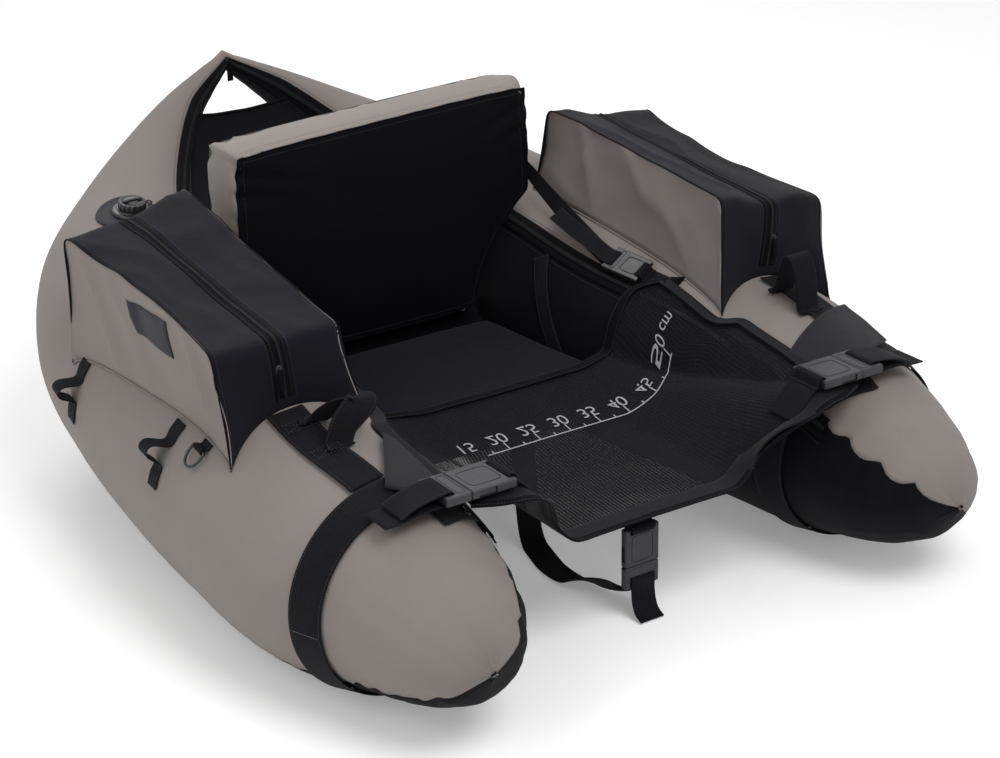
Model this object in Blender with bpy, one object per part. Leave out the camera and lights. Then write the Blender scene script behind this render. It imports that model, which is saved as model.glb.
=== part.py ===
"""Float tube (belly boat): an open-fronted inflatable seat for one angler.

Two tapered air chambers lie in a sewn two-colour cover shaped like a V. Between the arms hang a
seat, a strapped backrest and a sagging mesh apron. Two zipped bags sit on the arms.
The user faces -Y, so left is +X and right is -X. Z is up and the ground is z = 0. Metres.
"""
import math

import bmesh
import bpy
import numpy as np
from mathutils import Matrix, Vector

# Hull
HULL_LENGTH = 1.30
TUBE_RADIUS = 0.170
WELL_HALF_WIDTH = 0.204
ARM_SPREAD = WELL_HALF_WIDTH + TUBE_RADIUS
REAR_RISE = 0.497
GROUND_SINK = 0.004
ARM_TOP = 2 * TUBE_RADIUS - GROUND_SINK
COVER_WALL = 0.0016
GAP = 0.0003

# Each row: place along the hull, distance from the centre plane, keel height and radius as
# shares of the four lengths above, then the angle of the inner seam over the horizontal.
STATION_SHARES = (
    (0.000, 0.979, 0.266, 0.000, 12.0),
    (0.014, 0.979, 0.183, 0.260, 16.0),
    (0.046, 0.973, 0.117, 0.470, 22.0),
    (0.092, 0.965, 0.076, 0.612, 29.0),
    (0.146, 0.965, 0.052, 0.716, 37.0),
    (0.208, 0.981, 0.018, 0.829, 42.0),
    (0.277, 1.000, 0.000, 0.900, 45.0),
    (0.385, 0.973, 0.000, 0.965, 48.0),
    (0.515, 0.922, 0.000, 1.000, 50.0),
    (0.646, 0.890, 0.048, 0.976, 52.0),
    (0.754, 0.848, 0.125, 0.924, 52.0),
    (0.838, 0.757, 0.268, 0.782, 46.0),
    (0.900, 0.612, 0.449, 0.571, 34.0),
    (0.946, 0.447, 0.636, 0.376, 22.0),
    (0.981, 0.246, 0.829, 0.200, 13.0),
    (1.000, 0.000, 1.000, 0.071, 6.0),
)
RINGS_PER_SPAN = (1, 1, 1, 1, 1, 1, 2, 2, 2, 2, 2, 2, 1, 1, 1)
OUTER_SEAM = 225.0
FULL_TURN = 360.0
TOP_STEPS = 9
# The bottom cover's first columns: those at the edges of the flat keel are the last two
KEEL_ANGLES = (225.0, 242.0, 260.0, 280.0)
KEEL_TO_SEAM_STEPS = 6
BOTTOM_STEPS = len(KEEL_ANGLES) - 1 + KEEL_TO_SEAM_STEPS

# Webbing
WEBBING_THICK = 0.0020
WIDE_WEBBING = 0.050
MID_WEBBING = 0.038
NARROW_WEBBING = 0.025
MITRE_SHARE = 0.6

SIDES = {"left": 1.0, "right": -1.0}


def clear_scene():
    for item in list(bpy.data.objects):
        bpy.data.objects.remove(item, do_unlink=True)


def material(name, colour, roughness):
    made = bpy.data.materials.new(name)
    made.use_nodes = True
    shader = made.node_tree.nodes["Principled BSDF"]
    shader.inputs["Base Color"].default_value = (*colour, 1.0)
    shader.inputs["Roughness"].default_value = roughness
    return made


clear_scene()
TAUPE = material("taupe_fabric", (0.25, 0.22, 0.20), 0.75)
BLACK = material("black_fabric", (0.012, 0.012, 0.016), 0.80)
NAVY = material("dark_fabric", (0.020, 0.020, 0.030), 0.80)
WEBBING = material("black_webbing", (0.008, 0.008, 0.011), 0.70)
PLASTIC = material("black_plastic", (0.012, 0.012, 0.013), 0.35)
BLADDER = material("bladder_film", (0.45, 0.45, 0.42), 0.40)
ZIP = material("zip_tape", (0.010, 0.010, 0.012), 0.60)


# Small building blocks

def link(name, mesh, finish, smooth_angle=40.0):
    mesh.materials.append(finish)
    made = bpy.data.objects.new(name, mesh)
    bpy.context.scene.collection.objects.link(made)
    mesh.shade_smooth()
    mesh.set_sharp_from_angle(angle=math.radians(smooth_angle))
    return made


def new_object(name, verts, faces, finish):
    mesh = bpy.data.meshes.new(name)
    mesh.from_pydata([tuple(map(float, vert)) for vert in verts], [], faces)
    work = bmesh.new()
    work.from_mesh(mesh)
    bmesh.ops.recalc_face_normals(work, faces=work.faces)
    work.to_mesh(mesh)
    work.free()
    return link(name, mesh, finish)


def make_guide(made):
    made.hide_render = True
    made.display_type = "WIRE"
    return made


def boolean(target, cutter, operation="DIFFERENCE"):
    step = target.modifiers.new(cutter.name, "BOOLEAN")
    step.operation = operation
    step.solver = "EXACT"
    step.object = cutter
    return target


def unit(vector):
    return np.asarray(vector, dtype=float) / np.linalg.norm(vector)


def grid_quads(rows, columns, start=0, closed=False):
    """Faces between the rows of a vertex grid; a closed grid joins its last column to its first."""
    faces = []
    for row in range(rows - 1):
        for column in range(columns if closed else columns - 1):
            after = (column + 1) % columns
            a = start + row * columns + column
            b = start + row * columns + after
            faces.append((a, b, b + columns, a + columns))
    return faces


def triangles(faces):
    """Splits four-sided faces the same way everywhere, so that nested skins stay parallel."""
    split = []
    for face in faces:
        split.append(tuple(face[:3]))
        if len(face) == 4:
            split.append((face[0], face[2], face[3]))
    return split


def shell(name, upper, lower, faces, finish):
    """A closed panel between two skins that share their faces; its open edges are joined."""
    kept = sorted({vert for face in faces for vert in face})
    number = {vert: place for place, vert in enumerate(kept)}
    faces = [tuple(number[vert] for vert in face) for face in faces]
    upper, lower = ([skin[vert] for vert in kept] for skin in (upper, lower))
    count = len(upper)
    used = {(here, after) for face in faces for here, after in zip(face, face[1:] + face[:1])}
    solid = faces + [tuple(count + vert for vert in reversed(face)) for face in faces]
    for here, after in sorted(used):
        if (after, here) not in used:
            solid += [(after, here, here + count), (after, here + count, after + count)]
    return new_object(name, upper + lower, solid, finish)


def sheet_solid(name, upper, lower, finish, closed=False):
    """A closed panel between two grids of points; a closed one joins its last row to its first."""
    rows, columns, _ = np.shape(upper)
    faces = grid_quads(rows, columns)
    if closed:
        last = (rows - 1) * columns
        faces += [(last + c, last + c + 1, c + 1, c) for c in range(columns - 1)]
    flat = (rows * columns, 3)
    return shell(name, np.reshape(upper, flat), np.reshape(lower, flat), triangles(faces), finish)


def sweep(name, path, across, width, thick, finish):
    """A strip of webbing with mitred bends; across is the direction of its width, one or per point."""
    path = np.asarray(path, dtype=float)
    across = np.broadcast_to(np.asarray(across, dtype=float), path.shape)
    steps = [unit(step) for step in np.diff(path, axis=0)]
    upper, lower = [], []
    for point, came, goes, side in zip(path, steps[:1] + steps, steps + steps[-1:], across):
        side = unit(side)
        square = unit(np.cross(came, side))
        bisector = unit(square + unit(np.cross(goes, side)))
        normal = bisector * thick / 2 / max(np.dot(bisector, square), MITRE_SHARE)
        ends = (point - side * width / 2, point + side * width / 2)
        upper.append([end + normal for end in ends])
        lower.append([end - normal for end in ends])
    return sheet_solid(name, upper, lower, finish)


def block(name, low, high, radius, finish):
    """A box between two corners, with chamfered edges where a radius is given."""
    low, high = np.asarray(low, dtype=float), np.asarray(high, dtype=float)
    mesh = bpy.data.meshes.new(name)
    work = bmesh.new()
    bmesh.ops.create_cube(work, size=1)
    for vert in work.verts:
        vert.co = Vector((low + high) / 2 + np.array(vert.co[:]) * (high - low))
    if radius:
        bmesh.ops.bevel(work, geom=work.edges[:], offset=radius, segments=1, affect="EDGES")
    work.to_mesh(mesh)
    work.free()
    return link(name, mesh, finish)


def turned_rings(name, rings, finish):
    """A closed solid through rings of points, with an axis point before the first and after the last."""
    first, middle, last = rings[0], rings[1:-1], rings[-1]
    steps = len(middle[0])
    verts = [first] + [point for ring in middle for point in ring] + [last]
    faces = triangles(grid_quads(len(middle), steps, 1, closed=True))
    end = len(verts) - 1
    for step in range(steps):
        after = (step + 1) % steps
        faces.append((0, 1 + after, 1 + step))
        faces.append((end, end - steps + step, end - steps + after))
    return new_object(name, verts, faces, finish)


def circle(radius, height, steps, ribs_depth=0.0):
    """A ring of points; with a depth given, every second point is drawn in, as a grip's ribs."""
    points = []
    for step in range(steps):
        angle = 2 * math.pi * step / steps
        reach = radius - ribs_depth * (step % 2)
        points.append((reach * math.cos(angle), reach * math.sin(angle), height))
    return points


def turned(name, profile, steps, finish):
    """A solid of revolution about Z, whose profile starts and ends on the axis."""
    rings = [(0, 0, profile[0][1])]
    rings += [circle(radius, height, steps) for radius, height in profile[1:-1]]
    return turned_rings(name, rings + [(0, 0, profile[-1][1])], finish)


def place(made, origin, x_axis, z_axis):
    """Puts an object's own X and Z along two world directions, with its origin at a point."""
    z = Vector(unit(z_axis))
    y = z.cross(Vector(unit(x_axis))).normalized()
    x = y.cross(z)
    matrix = Matrix((x, y, z)).transposed().to_4x4()
    matrix.translation = Vector(origin)
    made.matrix_world = matrix
    return made


def set_origin(made, point):
    """Puts an object's origin on its joint's axis and leaves its shape where it is."""
    made.data.transform(Matrix.Translation(-Vector(point)))
    made.location = Vector(point)
    return made


# The hull's spine, and places on its surface

def smooth_stations():
    """The stations' centres, radii and seam angles, with their slopes along the spine."""
    shares = np.array(STATION_SHARES)
    radius = shares[:, 3] * TUBE_RADIUS
    rows = np.column_stack([
        shares[:, 1] * ARM_SPREAD,
        (shares[:, 0] - 0.5) * HULL_LENGTH,
        shares[:, 2] * REAR_RISE + radius - GROUND_SINK,
        radius,
        shares[:, 4],
    ])
    steps = np.linalg.norm(np.diff(rows[:, :3], axis=0), axis=1)
    along = np.concatenate([[0], np.cumsum(steps)])
    return along, rows, np.gradient(rows, along, axis=0)


SPINE = smooth_stations()
SPINE_END = SPINE[0][-1]


def spine_at(s):
    """Centre, radius and seam angle at a distance s along the spine, by Hermite's cubic."""
    along, rows, slopes = SPINE
    span = int(np.clip(np.searchsorted(along, s) - 1, 0, len(along) - 2))
    length = along[span + 1] - along[span]
    t = (s - along[span]) / length
    start = 2 * t**3 - 3 * t**2 + 1
    return (start * rows[span] + (t**3 - 2 * t**2 + t) * length * slopes[span]
            + (1 - start) * rows[span + 1] + (t**3 - t**2) * length * slopes[span + 1])


def spine_frame(s):
    """Unit vectors along the spine, towards the centre plane and up, at a distance s."""
    small = SPINE_END / 10000
    ahead, behind = min(s + small, SPINE_END), max(s - small, 0)
    forward = unit(spine_at(ahead)[:3] - spine_at(behind)[:3])
    inward = unit(np.cross((0, 0, 1), forward))
    return forward, inward, np.cross(forward, inward)


SPINE_TABLE = np.linspace(0, SPINE_END, 400)
SPINE_TABLE_Y = [spine_at(s)[1] for s in SPINE_TABLE]


def spine_from_y(y):
    """Distance along the spine where it passes a given y."""
    return float(np.interp(y, SPINE_TABLE_Y, SPINE_TABLE))


def hull_point(s, angle, lift=0.0, side=1.0):
    """A point on or off the round hull. Angle 0 faces the centre plane and 90 is the top."""
    row = spine_at(s)
    forward, inward, up = spine_frame(s)
    turn = math.radians(angle)
    point = row[:3] + (inward * math.cos(turn) + up * math.sin(turn)) * (row[3] + lift)
    point[2] = max(point[2], -lift)
    if s >= SPINE_END:
        point = point - forward * point[0] / forward[0]
    point[0] *= side
    return point


def hull_axes(s, angle, side=1.0):
    """Directions at a place on the hull: outwards, rearwards along it, and round it."""
    forward, inward, up = spine_frame(s)
    turn = math.radians(angle)
    flip = np.array([side, 1.0, 1.0])
    outward = (inward * math.cos(turn) + up * math.sin(turn)) * flip
    around = (up * math.cos(turn) - inward * math.sin(turn)) * flip
    return outward, forward * flip, around


def surface_slopes(s, angle, side=1.0):
    """How far a surface point moves, and where to, for each metre of spine and for each degree."""
    step = SPINE_END / 500
    behind, ahead = (hull_point(there, angle, 0.0, side) for there in (s - step, s + step))
    below, above = (hull_point(s, turned_to, 0.0, side) for turned_to in (angle - 1, angle + 1))
    return (ahead - behind) / (2 * step), (above - below) / 2


def surface_axes(s, angle, side=1.0):
    """The tapering surface's outward normal, and the directions rearwards and round it."""
    rearward, around = (unit(slope) for slope in surface_slopes(s, angle, side))
    outward = unit(np.cross(rearward, around))
    return outward * np.sign(np.dot(outward, hull_axes(s, angle, side)[0])), rearward, around


def hull_height(x, y, lift=0.0):
    """Height of the hull's upper surface over a point of the plan, or nothing beside the arms."""
    centre_x, _, centre_z, radius, _ = spine_at(spine_from_y(y))
    inside = (radius + lift) ** 2 - (abs(x) - centre_x) ** 2
    return centre_z + math.sqrt(inside) if inside > 0 else 0.0


def inner_wall(y):
    """Distance from the centre plane to the nearest part of an arm at a given y."""
    centre_x, _, _, radius, _ = spine_at(spine_from_y(y))
    return centre_x - radius


def ring_places():
    along = SPINE[0]
    places = []
    for span, steps in enumerate(RINGS_PER_SPAN):
        for step in range(steps):
            places.append(along[span] + (along[span + 1] - along[span]) * step / steps)
    return places + [SPINE_END]


RING_PLACES = ring_places()


def column_angles(s, cover):
    """The angles of a ring's points on the top or the bottom cover."""
    seam = spine_at(s)[4]
    if cover == "top":
        return np.linspace(seam, OUTER_SEAM, TOP_STEPS + 1)
    inner_side = np.linspace(KEEL_ANGLES[-1], seam + FULL_TURN, KEEL_TO_SEAM_STEPS + 1)
    return np.concatenate([KEEL_ANGLES[:-1], inner_side])


def arm_ring(s, cover, lift, side, seam_gap=0.0):
    """A row of points round the hull, held back a little from the seams at both ends."""
    angles = column_angles(s, cover)
    held = math.degrees(seam_gap / max(spine_at(s)[3], GAP))
    angles = np.clip(angles, angles[0] + held, angles[-1] - held)
    return [hull_point(s, angle, lift, side) for angle in angles]


def nose_point(lift, side, cover=None):
    """The front end of an arm, moved along its axis by the lift, and towards one cover's side."""
    flip = np.array([side, 1.0, 1.0])
    point = spine_at(0)[:3] * flip - spine_frame(0)[0] * flip * lift
    if cover:
        angles = column_angles(0, cover)
        point = point + hull_axes(0, (angles[0] + angles[-1]) / 2, side)[0] * GAP
    return point


def cover_skin(cover, lift, seam_gap):
    """Points and faces of one skin of a cover, from the right nose over the apex to the left."""
    rows = [arm_ring(s, cover, lift, -1.0, seam_gap) for s in RING_PLACES[1:]]
    rows += [arm_ring(s, cover, lift, 1.0, seam_gap) for s in reversed(RING_PLACES[1:-1])]
    columns = len(rows[0])
    verts = [nose_point(lift, -1.0, cover)] + [point for row in rows for point in row]
    verts.append(nose_point(lift, 1.0, cover))
    faces = grid_quads(len(rows), columns, 1)
    end = len(verts) - 1
    for column in range(columns - 1):
        faces.append((0, 2 + column, 1 + column))
        faces.append((end, end - columns + column, end - columns + column + 1))
    return verts, triangles(faces)


def hull_cover(name, cover, finish):
    """One cover as a thin sewn shell."""
    outer, faces = cover_skin(cover, 0.0, GAP)
    inner, _ = cover_skin(cover, -COVER_WALL, GAP)
    return shell(name, outer, inner, faces, finish)


def closed_arm(name, lift, side, rings, finish):
    """A closed tapered body with the hull's own rings, whose faces are split as the covers' are."""
    rows = [nose_point(lift, side)]
    for s in RING_PLACES[1:rings]:
        rows.append(arm_ring(s, "top", lift, side) + arm_ring(s, "bottom", lift, side)[1:-1])
    rows.append(np.mean(rows[-1], axis=0))
    return turned_rings(name, rows if side < 0 else rows[::-1], finish)


BLADDER_LIFT = -(COVER_WALL + GAP)
BLADDER_RINGS = len(RING_PLACES) - 1
ENVELOPE_LIFT = GAP


def build_envelopes():
    """Guides a hair larger than the arms, which cut whatever is seated against them."""
    made = {}
    for side, sign in SIDES.items():
        arm = closed_arm("envelope_" + side, ENVELOPE_LIFT, sign, len(RING_PLACES), BLACK)
        made[side] = make_guide(arm)
    return made


# Degrees between neighbouring ridges of the covers, and of the part that a patch spans
COVER_FACET = 10.0
PATCH_FACET = 12.0


def facet_lift(degrees):
    """Height that keeps straight facets, some degrees apart, off the hull's ridges."""
    return GAP + TUBE_RADIUS * (1 - math.cos(math.radians(degrees / 2)))


def hull_strip(name, path, width, thick, finish, side, lift=None, columns=3, closed=False):
    """Webbing sewn flat on the hull along places (s, angle), square to its run."""
    path = np.asarray(path, dtype=float)
    radii = np.array([spine_at(s)[3] for s, _ in path])
    run = np.column_stack([path[:, 0], np.radians(path[:, 1]) * radii])
    slope = np.gradient(run, axis=0)
    low = facet_lift(COVER_FACET) if lift is None else lift
    upper, lower = [], []
    for (s, angle), (ds, da), radius in zip(path, slope, radii):
        length = math.hypot(ds, da)
        row_up, row_low = [], []
        for share in np.linspace(-0.5, 0.5, columns):
            there = s - share * width * da / length
            turned_to = angle + math.degrees(share * width * ds / length / radius)
            row_up.append(hull_point(there, turned_to, low + thick, side))
            row_low.append(hull_point(there, turned_to, low, side))
        upper.append(row_up)
        lower.append(row_low)
    return sheet_solid(name, upper, lower, finish, closed)


def hull_loop(name, path, width, thick, finish, side, along=True):
    """Webbing that rises off the hull, along places (s, angle, height)."""
    points = [hull_point(s, angle, height, side) for s, angle, height in path]
    across = [hull_axes(s, angle, side)[1 if along else 2] for s, angle, _ in path]
    return sweep(name, points, across, width, thick, finish)


# Covers, bladders and their valves. A valve's place follows the hull's own columns, so that it
# stands on a ridge of the facets.
VALVE_Y = HULL_LENGTH * 0.3489
VALVE_SEAM_STEPS = 2
VALVE_HOLE_RADIUS = 0.0240
VALVE_BASE_RADIUS = 0.0225
VALVE_COLLAR_RADIUS = 0.0290
VALVE_COLLAR_THICK = 0.0030
VALVE_NECK_RADIUS = 0.0150
VALVE_NECK_RISE = 0.0090
VALVE_CAP_RADIUS = 0.0205
VALVE_CAP_ROOF = 0.0030
VALVE_CAP_RIBS = 12
VALVE_RIB_DEPTH = 0.0012
VALVE_STEPS = 20
VALVE_STAND = 0.0016
PATCH_RADIUS = 0.0540
PATCH_HOLE_RADIUS = 0.0262
PATCH_THICK = 0.0010


def valve_place(side):
    s = spine_from_y(VALVE_Y)
    angle = column_angles(s, "top")[VALVE_SEAM_STEPS]
    outward, rearward, _ = surface_axes(s, angle, side)
    return s, angle, hull_point(s, angle, 0.0, side), outward, rearward


def valve_patch(name, side):
    """The round reinforcing patch that is welded on the cover about the valve's hole."""
    s, angle, _, _, _ = valve_place(side)
    per_metre, per_degree = (np.linalg.norm(slope) for slope in surface_slopes(s, angle, side))
    middle = (PATCH_RADIUS + PATCH_HOLE_RADIUS) / 2
    upper, lower = [], []
    for step in range(VALVE_STEPS):
        turn = 2 * math.pi * step / VALVE_STEPS
        rows = [[], []]
        for reach in (PATCH_HOLE_RADIUS, middle, PATCH_RADIUS):
            there = s + reach * math.cos(turn) / per_metre
            turned_to = angle + reach * math.sin(turn) / per_degree
            for row, lift in zip(rows, (facet_lift(PATCH_FACET) + PATCH_THICK, facet_lift(PATCH_FACET))):
                row.append(hull_point(there, turned_to, lift, side))
        upper.append(rows[0])
        lower.append(rows[1])
    return sheet_solid(name, upper, lower, NAVY, closed=True)


def build_valve(side_name, top_cover):
    side = SIDES[side_name]
    _, _, point, outward, rearward = valve_place(side)
    valve_patch(side_name + "_valve_patch", side)
    reach = VALVE_COLLAR_RADIUS
    hole = turned(side_name + "_valve_hole",
                  [(0, -reach), (VALVE_HOLE_RADIUS, -reach), (VALVE_HOLE_RADIUS, reach), (0, reach)],
                  VALVE_STEPS, BLACK)
    boolean(top_cover, make_guide(place(hole, point, rearward, outward)))
    floor = BLADDER_LIFT + GAP
    skin = facet_lift(PATCH_FACET) + PATCH_THICK + VALVE_STAND
    collar = skin + VALVE_COLLAR_THICK
    neck = collar + VALVE_NECK_RISE
    body = turned(side_name + "_valve_body", [
        (0, floor), (VALVE_BASE_RADIUS, floor), (VALVE_BASE_RADIUS, skin), (VALVE_COLLAR_RADIUS, skin),
        (VALVE_COLLAR_RADIUS - VALVE_RIB_DEPTH, collar), (VALVE_NECK_RADIUS, collar),
        (VALVE_NECK_RADIUS, neck), (0, neck)], VALVE_STEPS, PLASTIC)
    place(body, point, rearward, outward)
    steps = VALVE_CAP_RIBS * 2
    low, roof = collar + GAP, neck + GAP
    high = roof + VALVE_CAP_ROOF
    bore = (VALVE_NECK_RADIUS + GAP) / math.cos(math.pi / steps)
    cap = turned_rings(side_name + "_valve_cap", [
        (0, 0, roof), circle(bore, roof, steps), circle(bore, low, steps),
        circle(VALVE_CAP_RADIUS, low, steps, VALVE_RIB_DEPTH),
        circle(VALVE_CAP_RADIUS, high - VALVE_RIB_DEPTH, steps, VALVE_RIB_DEPTH),
        circle(VALVE_CAP_RADIUS - VALVE_RIB_DEPTH * 2, high, steps), (0, 0, high)], PLASTIC)
    place(cap, point, rearward, outward)


def build_hull():
    top = hull_cover("top_cover", "top", TAUPE)
    hull_cover("bottom_cover", "bottom", BLACK)
    for side_name, side in SIDES.items():
        closed_arm(side_name + "_bladder", BLADDER_LIFT, side, BLADDER_RINGS, BLADDER)
        build_valve(side_name, top)


# Zip along the inner seam, over the apex from one arm to the other, with the pull at the apex
ZIP_TAPE_WIDTH = 0.030
ZIP_TAPE_THICK = 0.0012
ZIP_FRONT_RING = 5
PULL_LENGTH = 0.028
PULL_WIDTH = 0.010
PULL_THICK = 0.0016
PULL_STANDOFF = 0.0036


def build_hull_zip():
    """One tape that covers the seam and shares the columns of the covers' rings."""
    upper, lower = [], []
    right = [(-1.0, s) for s in RING_PLACES[ZIP_FRONT_RING:]]
    left = [(1.0, s) for s in reversed(RING_PLACES[ZIP_FRONT_RING:-1])]
    for side, s in right + left:
        row = spine_at(s)
        above, below = np.diff(column_angles(s, "top"))[0], np.diff(column_angles(s, "bottom"))[-1]
        half = min(math.degrees(ZIP_TAPE_WIDTH / 2 / row[3]), above, below)
        angles = (row[4] - half, row[4], row[4] + half)
        upper.append([hull_point(s, angle, 2 * GAP + ZIP_TAPE_THICK, side) for angle in angles])
        lower.append([hull_point(s, angle, 2 * GAP, side) for angle in angles])
    sheet_solid("hull_zip", upper, lower, ZIP)


def build_hull_pull():
    """The pull that hangs in the open corner under the apex."""
    seam, spread = spine_at(SPINE_END)[4], FULL_TURN / (TOP_STEPS + BOTTOM_STEPS)
    tape = [hull_point(SPINE_END, seam + turn, 2 * GAP + ZIP_TAPE_THICK) for turn in (-spread, 0, spread)]
    eye = np.array([0, min(point[1] for point in tape) - PULL_STANDOFF, tape[1][2]])
    path = [eye - np.array((0, 0, PULL_LENGTH)) * share for share in (0.0, 0.2, 1.0)]
    set_origin(sweep("hull_zip_pull", path, (1, 0, 0), PULL_WIDTH, PULL_THICK, ZIP), eye)


# Seat: a padded cushion on a sling between the arms, hung from two webbings
SEAT_REAR_Y = 0.155
SEAT_FRONT_Y = -0.150
SEAT_TOP = 0.205
SEAT_THICK = 0.050
SEAT_ROLL = 0.018
SEAT_SIDE_GAP = 0.006
SEAT_ROWS = 8
SEAT_COLUMNS = 8
SLING_THICK = 0.0020
SLING_REAR_Y = 0.205
SLING_FRONT_Y = -0.158
SLING_ROWS = 6
STRAP_TOP_Y = 0.117
STRAP_LOW_Y = -0.017
SEAT_STRAP_TOP_ANGLE = 42.0
SEAT_STRAP_LOW_ANGLE = -6.0
SEAT_STRAP_STEPS = 9


def build_seat():
    upper, lower = [], []
    for v in np.linspace(-1, 1, SEAT_ROWS + 1):
        y = SEAT_FRONT_Y + (SEAT_REAR_Y - SEAT_FRONT_Y) * (v + 1) / 2
        half = inner_wall(y) - SEAT_SIDE_GAP
        row_up, row_low = [], []
        for u in np.linspace(-1, 1, SEAT_COLUMNS + 1):
            edge = max(abs(u), abs(v)) ** 6
            drawn = 1 - abs(v) ** 6 / 12
            x = half * u * drawn
            row_up.append((x, y, SEAT_TOP - SEAT_ROLL * edge))
            row_low.append((x, y, SEAT_TOP - SEAT_THICK + SEAT_ROLL * edge / 4))
        upper.append(row_up)
        lower.append(row_low)
    sheet_solid("seat_cushion", upper, lower, NAVY)


def sling_profile():
    """Side view of the sling: flat under the cushion, then up to the backrest's lower edge."""
    low = SEAT_TOP - SEAT_THICK - GAP - SLING_THICK / 2
    high = BACKREST_BOTTOM - BACKREST_BULGE - BACKREST_SKIN
    bend = (SLING_REAR_Y - SEAT_REAR_Y) / 2
    flat = [(0, y, low) for y in np.linspace(SLING_FRONT_Y, SEAT_REAR_Y + GAP, SLING_ROWS)]
    return flat + [(0, SEAT_REAR_Y + bend, low + (high - low) / 6),
                   (0, SLING_REAR_Y - bend / 4, low + (high - low) * 2 / 3), (0, SLING_REAR_Y, high)]


def build_sling(envelopes):
    """Cloth that is cut to the arms it is sewn to."""
    width = 2 * (inner_wall(SEAT_FRONT_Y) + TUBE_RADIUS / 2)
    sling = sweep("seat_sling", sling_profile(), (1, 0, 0), width, SLING_THICK, BLACK)
    for envelope in envelopes.values():
        boolean(sling, envelope)
    for side_name in SIDES:
        boolean(sling, make_guide(build_seat_strap(side_name)), "UNION")


def build_seat_strap(side_name):
    """The webbing that carries the sling's edge from the zip line of the arm."""
    path = []
    for share in np.linspace(0, 1, SEAT_STRAP_STEPS + 1):
        s = spine_from_y(STRAP_TOP_Y + (STRAP_LOW_Y - STRAP_TOP_Y) * share)
        path.append((s, SEAT_STRAP_TOP_ANGLE + (SEAT_STRAP_LOW_ANGLE - SEAT_STRAP_TOP_ANGLE) * share))
    return hull_strip(side_name + "_seat_strap", path, NARROW_WEBBING, WEBBING_THICK, WEBBING,
                      SIDES[side_name])


# Backrest: an inflated core, a black face and a taupe gusset with the back, which folds forward
BACKREST_FACE_Y = 0.1685
BACKREST_THICK = 0.078
BACKREST_BOTTOM = 0.219
BACKREST_RISE = 0.194
BACKREST_TOP = ARM_TOP + BACKREST_RISE
BACKREST_HALF_WIDTH = 0.248
BACKREST_FOOT_HALF_WIDTH = 0.148
BACKREST_SHOULDER_RISE = 0.039
BACKREST_SHOULDER = ARM_TOP + BACKREST_SHOULDER_RISE
BACKREST_CROWN = 0.016
BACKREST_BULGE = 0.012
BACKREST_EDGE_DRAW = 0.014
BACKREST_SKIN = 0.0014
BACKREST_ROWS = 8
BACKREST_COLUMNS = 8


def backrest_half_width(z):
    """Straight sides above the shoulder, drawn in below it to pass between the arms."""
    share = np.clip((z - BACKREST_BOTTOM) / (BACKREST_SHOULDER - BACKREST_BOTTOM), 0, 1)
    return BACKREST_FOOT_HALF_WIDTH + (BACKREST_HALF_WIDTH - BACKREST_FOOT_HALF_WIDTH) * share ** 2


def backrest_point(u, v, depth):
    """A point of the pad: u across and v up from -1 to 1, depth 0 at the face and 1 at the back."""
    z = BACKREST_BOTTOM + (BACKREST_TOP - BACKREST_BOTTOM) * (v + 1) / 2
    corner = (abs(u) * abs(v)) ** 6
    half = backrest_half_width(z) - BACKREST_EDGE_DRAW * (corner + v * v * abs(u) / 3)
    z -= BACKREST_EDGE_DRAW * (corner + (u * u / 3)) * v
    crown = BACKREST_CROWN * (1 - u ** 4) * (1 - v ** 4)
    return np.array([u * half, BACKREST_FACE_Y + BACKREST_THICK * depth + crown * (2 * depth - 1), z])


def border_places(rows, columns):
    """Grid places round a panel, in order."""
    places = [(0, c) for c in range(columns)]
    places += [(r, columns - 1) for r in range(1, rows)]
    places += [(rows - 1, c) for c in range(columns - 2, -1, -1)]
    return places + [(r, 0) for r in range(rows - 2, 0, -1)]


def backrest_surface():
    """Points of the closed pad, the faces of its front, and those of its gusset and back."""
    rows, columns = BACKREST_ROWS + 1, BACKREST_COLUMNS + 1
    across = np.linspace(-1, 1, columns)
    upwards = np.linspace(-1, 1, rows)
    front = [backrest_point(u, v, 0) for v in upwards for u in across]
    back = [backrest_point(u, v, 1) for v in upwards for u in across]
    border = border_places(rows, columns)
    middle = []
    for row, column in border:
        point = (front[row * columns + column] + back[row * columns + column]) / 2
        outwards = np.array([across[column] ** 5, 0, upwards[row] ** 5])
        middle.append(point + outwards * BACKREST_BULGE)
    count = rows * columns
    face = grid_quads(rows, columns)
    rest = [tuple(reversed([v + count for v in quad])) for quad in grid_quads(rows, columns)]
    for here, (place_here, place_after) in enumerate(zip(border, border[1:] + border[:1])):
        after = (here + 1) % len(border)
        a = place_here[0] * columns + place_here[1]
        b = place_after[0] * columns + place_after[1]
        rest.append((b, a, 2 * count + here, 2 * count + after))
        rest.append((2 * count + after, 2 * count + here, a + count, b + count))
    return np.array(front + back + middle), triangles(face), triangles(rest)


def surface_normals(verts, faces):
    normals = np.zeros_like(verts)
    for face in faces:
        a, b, c = (verts[v] for v in face)
        for v in face:
            normals[v] += np.cross(b - a, c - a)
    lengths = np.linalg.norm(normals, axis=1)
    lengths[lengths == 0] = 1
    return normals / lengths[:, None]


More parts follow.
